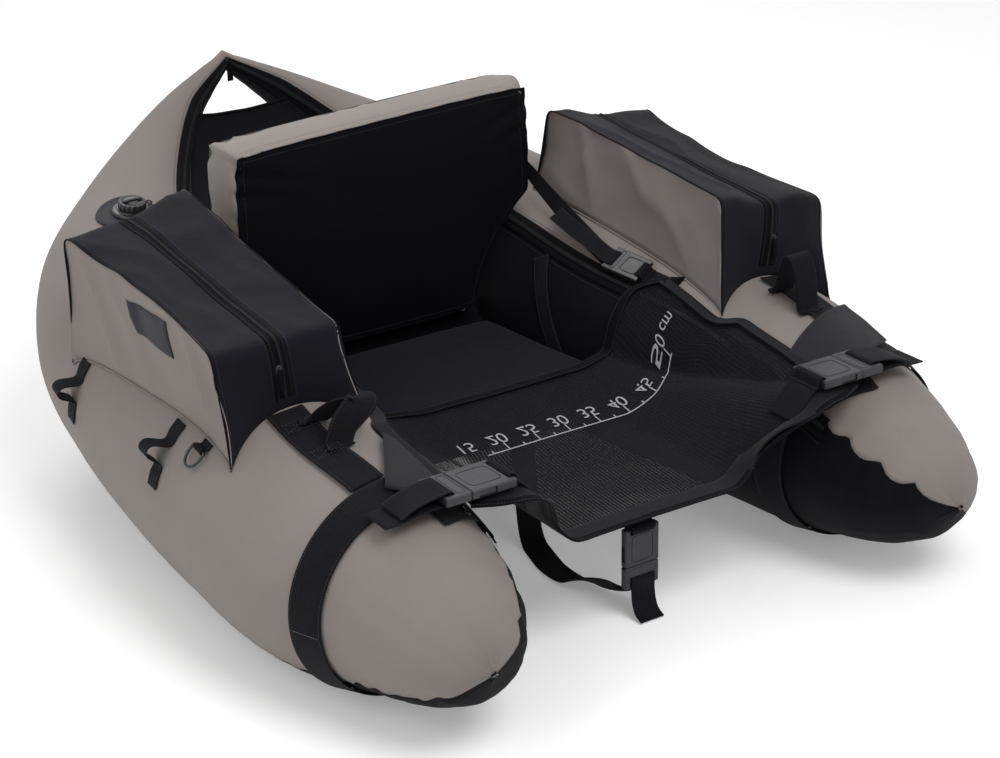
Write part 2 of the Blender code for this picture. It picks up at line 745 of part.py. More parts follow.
def panel_over(name, verts, normals, faces, finish):
    """A fabric panel over some faces of a pad, held back a hair at its open edges."""
    used = sorted({v for face in faces for v in face})
    number = {v: k for k, v in enumerate(used)}
    edges = {(a, b) for face in faces for a, b in zip(face, face[1:] + face[:1])}
    open_verts = {v for a, b in edges if (b, a) not in edges for v in (a, b)}
    near = {v: [] for v in open_verts}
    for a, b in edges:
        if a in near and b not in open_verts:
            near[a].append(verts[b])
        if b in near and a not in open_verts:
            near[b].append(verts[a])
    lower = []
    for v in used:
        point = verts[v] + normals[v] * GAP
        if near.get(v):
            point = point + unit(np.mean(near[v], axis=0) - verts[v]) * GAP
        lower.append(point)
    upper = [point + normals[v] * BACKREST_SKIN for v, point in zip(used, lower)]
    return shell(name, upper, lower, [tuple(number[v] for v in face) for face in faces], finish)


def build_backrest():
    verts, face, rest = backrest_surface()
    normals = surface_normals(verts, face + rest)
    if np.dot(normals[BACKREST_COLUMNS // 2 * (BACKREST_COLUMNS + 2)], (0, 1, 0)) > 0:
        normals = -normals
    hinge = (0, SLING_REAR_Y - SLING_THICK, SEAT_TOP + GAP)
    for made in (new_object("backrest_core", verts, face + rest, BLADDER),
                 panel_over("backrest_face", verts, normals, face, BLACK),
                 panel_over("backrest_gusset", verts, normals, rest, TAUPE)):
        set_origin(made, hinge)


# Side bags on the arms, each with a zip over its top and down its front
BAG_INNER_X = ARM_SPREAD - TUBE_RADIUS * 0.4
BAG_WIDTH = TUBE_RADIUS * 18 / 17
BAG_REAR_Y = 0.2055
BAG_FRONT_Y = -0.2075
BAG_RISE = 0.136
BAG_INNER_REAR_HEIGHT = ARM_TOP + BAG_RISE
BAG_OUTER_DROP = 0.027
BAG_FRONT_DROP = 0.032
BAG_FOOT_DROP = 0.071
BAG_FOOT_HEIGHT = ARM_TOP - BAG_FOOT_DROP
BAG_OUTER_LEAN = 0.015
BAG_INNER_LEAN = 0.008
BAG_ROUNDING = 0.010
BAG_ZIP_WIDTH = 0.028
BAG_ZIP_THICK = 0.0014
BAG_ZIP_END_DROP = 0.006
BAG_ZIP_END_HEIGHT = ARM_TOP - BAG_ZIP_END_DROP
SLIDER_LENGTH = 0.012
SLIDER_WIDTH = 0.009
SLIDER_THICK = 0.0045
SLIDER_RISE = 0.029
SLIDER_HEIGHT = ARM_TOP + SLIDER_RISE
BAG_PULL_LENGTH = 0.026


def bag_top(x, y):
    """Height of the bag's flat sloping top."""
    across = (abs(x) - BAG_INNER_X) / BAG_WIDTH
    along = (BAG_REAR_Y - y) / (BAG_REAR_Y - BAG_FRONT_Y)
    return BAG_INNER_REAR_HEIGHT - BAG_OUTER_DROP * across - BAG_FRONT_DROP * along


def bag_side_x(z, lean):
    """Both sides lean towards the centre plane on their way down."""
    share = (BAG_INNER_REAR_HEIGHT - z) / (BAG_INNER_REAR_HEIGHT - BAG_FOOT_HEIGHT)
    base = BAG_INNER_X + BAG_WIDTH if lean == BAG_OUTER_LEAN else BAG_INNER_X
    return base - lean * share


def bag_outer_x(z):
    return bag_side_x(z, BAG_OUTER_LEAN)


def build_bag(side_name, envelope):
    side = SIDES[side_name]
    foot = BAG_FOOT_HEIGHT - TUBE_RADIUS / 4
    mesh = bpy.data.meshes.new(side_name + "_bag")
    work = bmesh.new()
    bmesh.ops.create_cube(work, size=2)
    for vert in work.verts:
        u, v, w = vert.co
        y = BAG_REAR_Y if v > 0 else BAG_FRONT_Y
        z = bag_top(BAG_INNER_X + BAG_WIDTH * (u > 0), y) if w > 0 else foot
        x = bag_side_x(z, BAG_OUTER_LEAN if u > 0 else BAG_INNER_LEAN)
        vert.co = (x * side, y, z)
    bmesh.ops.recalc_face_normals(work, faces=work.faces)
    bmesh.ops.bevel(work, geom=work.edges[:], offset=BAG_ROUNDING, segments=2, affect="EDGES", profile=0.5)
    work.to_mesh(mesh)
    work.free()
    bag = link(side_name + "_bag", mesh, TAUPE)
    boolean(bag, envelope)


def bag_zip_line():
    """Side view of the zip's run at the middle of the bag: over the top, round the corner, down."""
    x = BAG_INNER_X + BAG_WIDTH / 2
    turn = BAG_ROUNDING + GAP
    corner_y = BAG_FRONT_Y + turn
    corner_z = bag_top(x, BAG_FRONT_Y) - turn
    line = [(y, bag_top(x, y)) for y in np.linspace(BAG_REAR_Y - 2 * turn, corner_y, 4)]
    for angle in (70, 45, 20):
        reach = BAG_ROUNDING
        line.append((corner_y - reach * math.cos(math.radians(angle)) - GAP,
                     corner_z + reach * math.sin(math.radians(angle)) + GAP))
    return line + [(BAG_FRONT_Y, corner_z), (BAG_FRONT_Y, BAG_ZIP_END_HEIGHT)]


def build_bag_zip(side_name):
    side = SIDES[side_name]
    x = BAG_INNER_X + BAG_WIDTH / 2
    line = np.array(bag_zip_line())
    along = np.gradient(line, axis=0)
    upper, lower = [], []
    for (y, z), (dy, dz) in zip(line, along):
        out = unit((dz, -dy))
        rows = [[], []]
        for row, lift in zip(rows, (3 * GAP + BAG_ZIP_THICK, 3 * GAP)):
            for share in (-0.5, 0.5):
                offset = share * BAG_ZIP_WIDTH
                top_share = np.clip((z - BAG_ZIP_END_HEIGHT) / BAG_ROUNDING, 0, 1)
                drop = -BAG_OUTER_DROP * offset / BAG_WIDTH * top_share
                row.append((side * (x + offset), y + out[0] * lift, z + out[1] * lift + drop))
        upper.append(rows[0])
        lower.append(rows[1])
    sheet_solid(side_name + "_bag_zip", upper, lower, ZIP)
    face_y = BAG_FRONT_Y - 4 * GAP - BAG_ZIP_THICK
    centre = np.array([side * x, 0, 0])
    half = np.array([SLIDER_WIDTH / 2, 0, 0])
    slider = block(side_name + "_bag_slider", centre - half + (0, face_y - SLIDER_THICK, SLIDER_HEIGHT),
                   centre + half + (0, face_y, SLIDER_HEIGHT + SLIDER_LENGTH), GAP * 2, PLASTIC)
    set_origin(slider, centre + (0, face_y - SLIDER_THICK / 2, SLIDER_HEIGHT + SLIDER_LENGTH / 2))
    eye = centre + (0, face_y - SLIDER_THICK - GAP - PULL_THICK / 2, SLIDER_HEIGHT + SLIDER_LENGTH / 2)
    path = [eye + np.array((0, 0, -BAG_PULL_LENGTH)) * share for share in (0.0, 0.3, 1.0)]
    pull = sweep(side_name + "_bag_pull", path, (1, 0, 0), PULL_WIDTH * 2 / 3, PULL_THICK, ZIP)
    set_origin(pull, eye)


# Webbing on the arms: a wide strap from the bag to the cross strap, a handle over it, a ring
# strap round the arm, D-rings and rod straps on the outer side
ARM_STRAP_ANGLE = 98.0
ARM_STRAP_REAR_Y = -0.212
ARM_STRAP_FRONT_Y = -0.385
HANDLE_REAR_Y = -0.232
HANDLE_FRONT_Y = -0.322
HANDLE_HEIGHT = 0.078
HANDLE_THICK = 0.0035
HANDLE_LEAN = 0.020
HANDLE_STEPS = 10
RING_STRAP_Y = -0.418
RING_STRAP_STEPS = 24
D_RING_PLACES = {"front": (-0.172, 137.0), "rear": (0.243, 133.0)}
D_RING_WIDTH = 0.030
D_RING_DEPTH = 0.026
D_RING_WIRE = 0.0020
D_RING_TAB_WIDTH = 0.022
D_RING_TAB_LENGTH = 0.018
D_RING_BAR_HEIGHT = 0.0070
D_RING_CLEARANCE = 0.0006
D_RING_TAB_TURNS = (140, 95, 50, 5, -40, -85, -130)
ROD_STRAP_PLACES_Y = {"front": -0.108, "rear": 0.182}
ROD_STRAP_TURN = 32.0
ROD_LOOP_RISE = 0.028
ROD_LOOP_SPREAD = 5.0


def strap_top():
    """Height of a sewn strap's upper face over the hull."""
    return facet_lift(COVER_FACET) + WEBBING_THICK


def build_arm_strap(side_name):
    places = [spine_from_y(y) for y in np.linspace(ARM_STRAP_REAR_Y, ARM_STRAP_FRONT_Y, 6)]
    path = [(s, ARM_STRAP_ANGLE) for s in places]
    return hull_strip(side_name + "_arm_strap", path, WIDE_WEBBING, WEBBING_THICK, WEBBING,
                      SIDES[side_name])


def build_handle(side_name):
    """A carrying loop whose flat ends are sewn down into the wide strap under them."""
    seat = strap_top() + HANDLE_THICK / 2 - 2 * GAP
    middle = (HANDLE_REAR_Y + HANDLE_FRONT_Y) / 2
    half = (HANDLE_REAR_Y - HANDLE_FRONT_Y) / 2
    places = [(middle + half / 2, 0.0)]
    for step in range(HANDLE_STEPS + 1):
        turn = math.pi * step / HANDLE_STEPS
        rise = abs(math.sin(turn)) ** 0.8
        places.append((middle + half * math.cos(turn) - HANDLE_LEAN * rise, HANDLE_HEIGHT * rise))
    places.append((middle - half / 2, 0.0))
    path = [(spine_from_y(y), ARM_STRAP_ANGLE, seat + rise) for y, rise in places]
    loop = hull_loop(side_name + "_handle", path, WIDE_WEBBING * 9 / 10, HANDLE_THICK, WEBBING,
                     SIDES[side_name], along=False)
    boolean(loop, make_guide(build_arm_strap(side_name)), "UNION")


def build_ring_strap(side_name):
    s = spine_from_y(RING_STRAP_Y)
    angles = np.linspace(0, FULL_TURN, RING_STRAP_STEPS, endpoint=False)
    low = facet_lift(FULL_TURN / RING_STRAP_STEPS)
    side = SIDES[side_name]
    upper, lower = [], []
    for angle in angles:
        places = [s + share * WIDE_WEBBING for share in (-0.5, 0, 0.5)]
        upper.append([hull_point(there, angle, low + WEBBING_THICK, side) for there in places])
        lower.append([hull_point(there, angle, low, side) for there in places])
    sheet_solid(side_name + "_ring_strap", upper, lower, WEBBING, closed=True)


def d_ring_frame(side_name, end):
    """The bar's centre over the hull, with the directions off it, along it and down the ring."""
    side = SIDES[side_name]
    y, angle = D_RING_PLACES[end]
    s = spine_from_y(y)
    outward, rearward, around = surface_axes(s, angle, side)
    return s, angle, hull_point(s, angle, 0.0, side) + outward * D_RING_BAR_HEIGHT, outward, rearward, around


def build_d_ring(side_name, end):
    """A wire D in a folded tab of webbing, whose loop leaves running clearance on the bar."""
    side = SIDES[side_name]
    s, angle, centre, outward, rearward, around = d_ring_frame(side_name, end)
    tab_thick = WEBBING_THICK * 3 / 4
    reach = D_RING_WIRE + D_RING_CLEARANCE + tab_thick / 2
    path = []
    for share in (1.0, 0.6, 0.3):
        higher = angle - math.degrees(share * D_RING_TAB_LENGTH / spine_at(s)[3])
        path.append(hull_point(s, higher, facet_lift(COVER_FACET) + tab_thick / 2, side))
    for turn in D_RING_TAB_TURNS:
        turn = math.radians(turn)
        path.append(centre + (around * math.cos(turn) + outward * math.sin(turn)) * reach)
    sweep(side_name + "_" + end + "_d_tab", path, rearward, D_RING_TAB_WIDTH, tab_thick, WEBBING)
    half, depth = D_RING_WIDTH / 2, D_RING_DEPTH
    outline = [(-half, 0), (half, 0)]
    for turn in range(0, 181, 30):
        turn = math.radians(turn)
        outline.append((half * math.cos(turn), depth * (1 + 2 * math.sin(turn)) / 3))
    curve = bpy.data.curves.new(side_name + "_" + end + "_d_ring", "CURVE")
    curve.dimensions = "3D"
    curve.bevel_depth = D_RING_WIRE
    curve.bevel_resolution = 1
    spline = curve.splines.new("POLY")
    spline.points.add(len(outline) - 1)
    for knot, (x, y) in zip(spline.points, outline):
        knot.co = (x, y, 0, 1)
    spline.use_cyclic_u = True
    curve.materials.append(PLASTIC)
    ring = bpy.data.objects.new(curve.name, curve)
    bpy.context.scene.collection.objects.link(ring)
    place(ring, centre, rearward, np.cross(rearward, around))


def bag_edge_angle(y):
    """Where the bag's outer side meets the hull."""
    centre_x, _, _, radius, _ = spine_at(spine_from_y(y))
    return 90 + math.degrees(math.asin((bag_outer_x(BAG_FOOT_HEIGHT) - centre_x) / radius))


def build_rod_strap(side_name, end):
    """A webbing that starts at the bag's edge and stands off in one loop for a rod or paddle."""
    y = ROD_STRAP_PLACES_Y[end]
    s = spine_from_y(y)
    start = bag_edge_angle(y) + ROD_LOOP_SPREAD / 2
    middle = start + ROD_STRAP_TURN / 2
    seat = facet_lift(COVER_FACET) + WEBBING_THICK / 2
    path = [(s, angle, seat) for angle in np.linspace(start, middle - ROD_LOOP_SPREAD, 3)]
    for share in (0.25, 0.5, 0.75):
        rise = math.sin(math.pi * share) ** 0.6
        path.append((s, middle + ROD_LOOP_SPREAD * (2 * share - 1), seat + ROD_LOOP_RISE * rise))
    for angle in np.linspace(middle + ROD_LOOP_SPREAD, start + ROD_STRAP_TURN, 3):
        path.append((s, angle, seat))
    name = side_name + "_" + end + "_rod_strap"
    hull_loop(name, path, NARROW_WEBBING, WEBBING_THICK, WEBBING, SIDES[side_name])


# Side-release buckles. A buckle's own X is its pull direction, and the clip leaves towards +X.
BUCKLE_THICK = {WIDE_WEBBING: 0.012, MID_WEBBING: 0.011, NARROW_WEBBING: 0.009}
BUCKLE_MARGIN = 0.008
BUCKLE_WALL = 0.0016
BUCKLE_CLEARANCE = 0.0004
BUCKLE_BAR = 0.0035
BUCKLE_SLOT = 0.0050
SOCKET_EXTRA = 0.024
CLIP_EXTRA = 0.016


def buckle_lengths(width):
    """Lengths of the socket and of the clip's ladder for a webbing's width."""
    return width * 4 / 5 + SOCKET_EXTRA, width * 2 / 5 + CLIP_EXTRA


def fork_outline(width, inside, length, clip_length):
    """Plan of the clip's insert: two sprung outer prongs and a guide between them."""
    prong = inside - BUCKLE_CLEARANCE
    root, guide, reach = width / 7, width / 14, -length * 13 / 20
    half = [(clip_length / 4, prong), (reach, prong), (reach, prong - root),
            (-BUCKLE_BAR, prong - root), (-BUCKLE_BAR, guide), (reach * 3 / 4, guide)]
    return half + [(x, -y) for x, y in reversed(half)]


def build_socket(name, width, origin, pull, normal):
    """The socket with its side windows and the bar that its webbing is sewn round."""
    length, _ = buckle_lengths(width)
    thick = BUCKLE_THICK[width]
    half = width / 2 + BUCKLE_MARGIN
    inside, height, slot = half - BUCKLE_WALL, thick / 2 - BUCKLE_WALL, width / 2 + BUCKLE_CLEARANCE
    socket = block(name, (-length, -half, -thick / 2), (0, half, thick / 2), BUCKLE_WALL, PLASTIC)
    bar_end = -length + BUCKLE_BAR
    cuts = [
        ((-length * 7 / 10, -inside, -height), (length, inside, height)),
        ((-length * 11 / 20, -width, -height), (-length * 3 / 20, width, height)),
        ((bar_end, -slot, -thick), (bar_end + BUCKLE_SLOT, slot, thick)),
    ]
    for number, (low, high) in enumerate(cuts):
        cutter = make_guide(block(name + "_cut_" + str(number), low, high, 0, PLASTIC))
        boolean(socket, place(cutter, origin, pull, normal))
    place(socket, origin, pull, normal)


def build_clip(name, width, origin, pull, normal):
    """The clip: a fork that springs into the socket's windows, and a ladder for the webbing."""
    length, clip_length = buckle_lengths(width)
    thick = BUCKLE_THICK[width]
    half = width / 2 + BUCKLE_MARGIN
    top = thick / 2 - BUCKLE_WALL - BUCKLE_CLEARANCE
    outline = fork_outline(width, half - BUCKLE_WALL, length, clip_length)
    count = len(outline)
    verts = [(x, y, z) for z in (-top, top) for x, y in outline]
    faces = [tuple(reversed(range(count))), tuple(range(count, 2 * count))]
    faces += [(k, (k + 1) % count, (k + 1) % count + count, k + count) for k in range(count)]
    fork = make_guide(new_object(name + "_fork", verts, faces, PLASTIC))
    clip = block(name, (BUCKLE_CLEARANCE, -half, -thick / 2), (clip_length, half, thick / 2),
                 BUCKLE_WALL, PLASTIC)
    boolean(clip, place(fork, origin, pull, normal), "UNION")
    slot = width / 2 + BUCKLE_CLEARANCE
    for number in range(2):
        start = clip_length - (BUCKLE_BAR + BUCKLE_SLOT) * (number + 1)
        cutter = make_guide(block(name + "_slot_" + str(number), (start, -slot, -thick),
                                  (start + BUCKLE_SLOT, slot, thick), 0, PLASTIC))
        boolean(clip, place(cutter, origin, pull, normal))
    place(clip, origin, pull, normal)


def webbing_offset(width):
    """Distance of a webbing's middle from the buckle's middle plane, above or below the bars."""
    return BUCKLE_THICK[width] / 2 + GAP + WEBBING_THICK / 2


def socket_thread(width, origin, pull, normal):
    """Path of the webbing sewn round the socket's bar, from the far end of its lower layer."""
    length, _ = buckle_lengths(width)
    slot, outer = -length + BUCKLE_BAR + BUCKLE_SLOT / 2, -length - BUCKLE_BAR
    low = -webbing_offset(width)
    over = low + WEBBING_THICK + GAP
    path = [(outer - BUCKLE_BAR * 2, low), (slot, low), (slot, -low), (-length - BUCKLE_BAR / 2, -low),
            (outer - BUCKLE_BAR / 2, over), (outer - BUCKLE_BAR * 2, over)]
    return [origin + pull * x + normal * z for x, z in path]


def clip_thread(width, origin, pull, normal):
    """Path of the webbing under the clip's ladder, up its inner slot and back over the bars."""
    _, clip_length = buckle_lengths(width)
    slot = clip_length - BUCKLE_BAR * 2 - BUCKLE_SLOT * 3 / 2
    offset = webbing_offset(width)
    path = [(clip_length + BUCKLE_BAR, -offset), (slot, -offset), (slot, offset),
            (clip_length + BUCKLE_BAR, offset)]
    return [origin + pull * x + normal * z for x, z in path]


# Backrest straps: a socket on a short tab on each arm, and a clip on the backrest's webbing
BACK_BUCKLE_Y = -0.030
BACK_BUCKLE_ANGLE = 58.5
BACK_STRAP_TOP_Y = 0.222
BACK_STRAP_HEIGHT = 0.392
BACK_STRAP_SEWN = 0.020
BACK_TAB_END_Y = -0.112
TAIL_LENGTH = 0.120


def back_buckle_frame(side_name):
    """The buckle lies on the arm over its zip, with its webbing below it."""
    side = SIDES[side_name]
    s = spine_from_y(BACK_BUCKLE_Y)
    outward, rearward, around = surface_axes(s, BACK_BUCKLE_ANGLE, side)
    half = NARROW_WEBBING / 2 + BUCKLE_MARGIN
    lift = half * half / 2 / TUBE_RADIUS + webbing_offset(NARROW_WEBBING) + WEBBING_THICK / 2 + 2 * GAP
    return s, hull_point(s, BACK_BUCKLE_ANGLE, 0.0, side) + outward * lift, outward, rearward, around


def build_back_strap(side_name):
    side = SIDES[side_name]
    s, origin, outward, rearward, around = back_buckle_frame(side_name)
    width = NARROW_WEBBING
    build_socket(side_name + "_backrest_buckle", width, origin, rearward, outward)
    build_clip(side_name + "_backrest_clip", width, origin, rearward, outward)
    half_width = backrest_half_width(BACK_STRAP_HEIGHT) + BACKREST_BULGE + BACKREST_SKIN
    sewn_x = (half_width + 2 * GAP + WEBBING_THICK) * side
    sewn = np.array([sewn_x, BACK_STRAP_TOP_Y, BACK_STRAP_HEIGHT])
    near = sewn - np.array([0, BACK_STRAP_SEWN, 0])
    thread = clip_thread(width, origin, rearward, outward)
    upright = np.array([0, 0, 1.0])
    run = [(1.0, sewn), (1.0, near)]
    for share in (0.75, 0.5, 0.25):
        run.append((share, thread[0] + (near - thread[0]) * share))
    path = [point for _, point in run] + thread
    across = [unit(upright * share + around * (1 - share)) for share, _ in run]
    end = thread[-1]
    for share in (0.3, 0.65, 1.0):
        lean = outward * WEBBING_THICK * 3 * (1 + share) + upright * TAIL_LENGTH * share * share / 6
        path.append(end + rearward * TAIL_LENGTH * share + lean)
    across += [around] * (len(path) - len(run))
    sweep(side_name + "_backrest_strap", path, across, width, WEBBING_THICK, WEBBING)
    length, _ = buckle_lengths(width)
    loop = socket_thread(width, origin, rearward, outward)
    low_end = spine_from_y(BACK_TAB_END_Y)
    start = s - length - BUCKLE_BAR * 5
    seat = facet_lift(COVER_FACET) + WEBBING_THICK / 2
    path = [hull_point(there, BACK_BUCKLE_ANGLE, seat, side) for there in (low_end, start)]
    sweep(side_name + "_backrest_anchor", path + loop, around, width, WEBBING_THICK, WEBBING)


# Apron: a mesh trough from the seat's front to between the noses, with flaps over both arms
APRON_REAR_Y = -0.112
APRON_WING_REAR_Y = -0.084
APRON_OUTER_REAR_Y = -0.129
APRON_FRONT_Y = -0.465
APRON_REAR_HEIGHT = 0.209
APRON_FRONT_HEIGHT = 0.158
APRON_RISE = 0.112
APRON_WING_START = 0.120
APRON_WING_END = 0.235
APRON_OUTER_X = 0.279
APRON_CORNER_REACH = 0.060
APRON_THICK = 0.0014
APRON_LIFT = 0.0062
FLAP_SKEW = 0.030
FLAP_START_X = 0.330
FLAP_END_X = 0.430
# Shares of the way from the rear edge to the front one, and of the arms' distance from the middle
APRON_ROW_SHARES = (0.0, 0.12, 0.24, 0.35, 0.48, 0.61, 0.74, 0.80, 0.87, 0.94, 1.0)
APRON_COLUMN_SHARES = (0.0, 0.12, 0.24, 0.34, 0.43, 0.50, 0.565, 0.625, 0.68, 0.745, 0.80,
                       0.86, 0.92, 0.98, 1.04, 1.10, 1.15)
# Where the mesh ends sideways, from each of these rows on
APRON_REACH_SHARES = ((0.0, 0.745), (0.35, 0.80), (0.74, 1.15))
APRON_FLAP_SHARE = 0.90
APRON_FLAP_TAPER_SHARE = 0.40
# The front edge: distance from the centre plane, and reach of the corners
APRON_EDGE_SHARES = ((0.0, 0.0), (0.45, 0.03), (0.575, 1.0), (0.70, 0.85), (0.98, -0.10), (1.15, -0.40))


def smooth_step(value, start=0.0, end=1.0):
    value = min(max((value - start) / (end - start), 0.0), 1.0)
    return value * value * (3 - 2 * value)


def apron_height(x, y, lift=0.0):
    """The trough between the arms, which climbs over whatever it meets on them."""
    share = min(max((APRON_REAR_Y - y) / (APRON_REAR_Y - APRON_FRONT_Y), 0.0), 1.0)
    middle = APRON_FRONT_HEIGHT + (APRON_REAR_HEIGHT - APRON_FRONT_HEIGHT) * (1 - share) ** 2
    wing = APRON_RISE * share * smooth_step(abs(x), APRON_WING_START, APRON_WING_END)
    return max(middle + wing + lift, hull_height(x, y, APRON_LIFT + lift))


def apron_rear(x):
    """The rear edge, which is drawn forward at its rounded outer corners."""
    corner = max(min(x, APRON_OUTER_X) - APRON_WING_END, 0) / (APRON_OUTER_X - APRON_WING_END)
    return (APRON_REAR_Y
            + (APRON_WING_REAR_Y - APRON_REAR_Y) * smooth_step(x, APRON_WING_START, APRON_WING_END)
            + (APRON_OUTER_REAR_Y - APRON_WING_REAR_Y) * corner ** 1.5)


def apron_place(share, column):
    """Plan of the mesh's grid; its flaps are skewed at the rear and taper to the front."""
    progress = smooth_step(share, APRON_REACH_SHARES[-1][0], 1.0)
    x = (column - max(column - APRON_FLAP_SHARE, 0) * APRON_FLAP_TAPER_SHARE * progress) * ARM_SPREAD
    front = APRON_FRONT_Y - APRON_CORNER_REACH * np.interp(x / ARM_SPREAD, *zip(*APRON_EDGE_SHARES))
    skew = FLAP_SKEW * smooth_step(x, FLAP_START_X, FLAP_END_X) * (1 - progress)
    return x, apron_rear(x) + (front - apron_rear(x)) * share + skew


def build_apron(tabs):
    """The mesh with the webbing tabs that are sewn to it."""
    sides = [(-1, column) for column in reversed(APRON_COLUMN_SHARES)]
    sides += [(1, column) for column in APRON_COLUMN_SHARES[1:]]
    upper, lower, faces = [], [], []
    for row, share in enumerate(APRON_ROW_SHARES):
        for sign, column in sides:
            x, y = apron_place(share, column)
            lower.append((sign * x, y, apron_height(x, y)))
            upper.append((sign * x, y, apron_height(x, y, APRON_THICK)))
        reach = max(limit for start, limit in APRON_REACH_SHARES if share >= start)
        for place, quad in enumerate(grid_quads(2, len(sides), row * len(sides))):
            if row + 1 < len(APRON_ROW_SHARES) and max(sides[place][1], sides[place + 1][1]) <= reach:
                faces.append(quad)
    apron = shell("apron", upper, lower, triangles(faces), NAVY)
    for tab in tabs:
        boolean(apron, make_guide(tab), "UNION")


# Front buckles over the apron's corners, and the cross straps that pull them to the arms
FRONT_BUCKLE_X = 0.305
FRONT_BUCKLE_Y = -0.4705
FRONT_TAB_LENGTH = 0.030
CROSS_STRAP_END_X = 0.420
CROSS_STRAP_STEPS = 4
CROSS_STRAP_LIFT = 0.0024
CROSS_TAIL_END_X = 0.398


def stack_top(x, y, width):
    """Top of what lies on the arm under a strap that runs across it."""
    places = [y + width * share for share in (-0.5, -0.25, 0.0, 0.25, 0.5)]
    return max(max(apron_height(x, there, APRON_THICK), hull_height(x, there, strap_top()))
               for there in places)


def front_buckle_origin(side_name):
    socket_length, clip_length = buckle_lengths(WIDE_WEBBING)
    places = np.linspace(FRONT_BUCKLE_X - socket_length, FRONT_BUCKLE_X + clip_length, 6)
    top = max(stack_top(x, FRONT_BUCKLE_Y, WIDE_WEBBING + 2 * BUCKLE_MARGIN) for x in places)
    height = top + 2 * GAP + WEBBING_THICK / 2 + webbing_offset(WIDE_WEBBING)
    return np.array([FRONT_BUCKLE_X * SIDES[side_name], FRONT_BUCKLE_Y, height])


def build_front_strap(side_name):
    side = SIDES[side_name]
    width = WIDE_WEBBING
    origin = front_buckle_origin(side_name)
    pull, normal, across = np.array([side, 0, 0]), np.array([0, 0, 1.0]), (0, 1, 0)
    build_socket(side_name + "_front_buckle", width, origin, pull, normal)
    build_clip(side_name + "_front_clip", width, origin, pull, normal)
    thread = clip_thread(width, origin, pull, normal)
    inner = abs(thread[0][0]) + BUCKLE_BAR * 2
    path = []
    for x in np.linspace(CROSS_STRAP_END_X, inner, CROSS_STRAP_STEPS):
        path.append((x * side, FRONT_BUCKLE_Y, stack_top(x, FRONT_BUCKLE_Y, width) + CROSS_STRAP_LIFT))
    path += [tuple(point) for point in thread]
    high = thread[-1][2] - path[CROSS_STRAP_STEPS - 1][2]
    for share in (0.5, 1.0):
        x = inner + (CROSS_TAIL_END_X - inner) * share
        drop = high * (1 - share) + (WEBBING_THICK + 4 * GAP) * share
        path.append((x * side, FRONT_BUCKLE_Y, stack_top(x, FRONT_BUCKLE_Y, width) + CROSS_STRAP_LIFT + drop))
    sweep(side_name + "_cross_strap", path, across, width, WEBBING_THICK, WEBBING)
    loop = socket_thread(width, origin, pull, normal)
    start = loop[0] - pull * FRONT_TAB_LENGTH
    start[2] = apron_height(start[0], FRONT_BUCKLE_Y)
    return sweep(side_name + "_front_tab", [start] + loop, across, width, WEBBING_THICK, WEBBING)


# Crotch strap: from the sling along the ground and up to a buckle under the apron's front
CROTCH_BUCKLE_Y = -0.428
CROTCH_BUCKLE_HEIGHT = 0.074
CROTCH_TAB_SEWN = 0.022
GROUND_CLEARANCE = 0.0030
# Each point: share of the way from the sling to the buckle, share of the sling's height
CROTCH_SHARES = ((0.03, 0.96), (0.07, 0.80), (0.11, 0.55), (0.16, 0.28), (0.24, 0.08), (0.36, 0.01),
                 (0.58, 0.0), (0.72, 0.02), (0.85, 0.08), (0.95, 0.17))
CROTCH_TAIL_SHARES = ((0.0, 0.5), (0.25, 0.12), (1.0, 0.0))


def build_crotch():
    width = MID_WEBBING
    origin = np.array([0, CROTCH_BUCKLE_Y, CROTCH_BUCKLE_HEIGHT])
    pull, normal, across = np.array([0, 0, -1.0]), np.array([0, -1.0, 0]), (1, 0, 0)
    build_socket("crotch_buckle", width, origin, pull, normal)
    build_clip("crotch_clip", width, origin, pull, normal)
    low = SEAT_TOP - SEAT_THICK - SLING_THICK - 2 * GAP - WEBBING_THICK / 2
    thread = clip_thread(width, origin, pull, normal)
    start = SLING_FRONT_Y + CROTCH_TAB_SEWN
    path = [(0, start, low), (0, SLING_FRONT_Y, low)]
    for along, height in CROTCH_SHARES:
        y = SLING_FRONT_Y + (thread[0][1] - SLING_FRONT_Y) * along
        path.append((0, y, GROUND_CLEARANCE + (low - GROUND_CLEARANCE) * height))
    path += [tuple(point) for point in thread]
    end = thread[-1]
    for along, height in CROTCH_TAIL_SHARES:
        above = (end[2] - GROUND_CLEARANCE) * height
        path.append((0, end[1] - MID_WEBBING * along, GROUND_CLEARANCE + above))
    sweep("crotch_strap", path, across, width, WEBBING_THICK, WEBBING)
    loop = socket_thread(width, origin, pull, normal)
    under = apron_height(0, CROTCH_BUCKLE_Y)
    tab = [(0, loop[0][1] + CROTCH_TAB_SEWN, under), (0, loop[0][1] + WEBBING_THICK * 2, under),
           (0, loop[0][1], under - WEBBING_THICK * 3)]
    return sweep("crotch_tab", tab + [tuple(point) for point in loop], across, width, WEBBING_THICK, WEBBING)


# Rear panel: cloth between the arms behind the backrest
REAR_PANEL_CLEARANCE = 0.012
REAR_PANEL_END_Y = HULL_LENGTH * 0.473
REAR_PANEL_COLUMNS = 6
REAR_PANEL_THICK = 0.0016
REAR_PANEL_SAG = 0.012


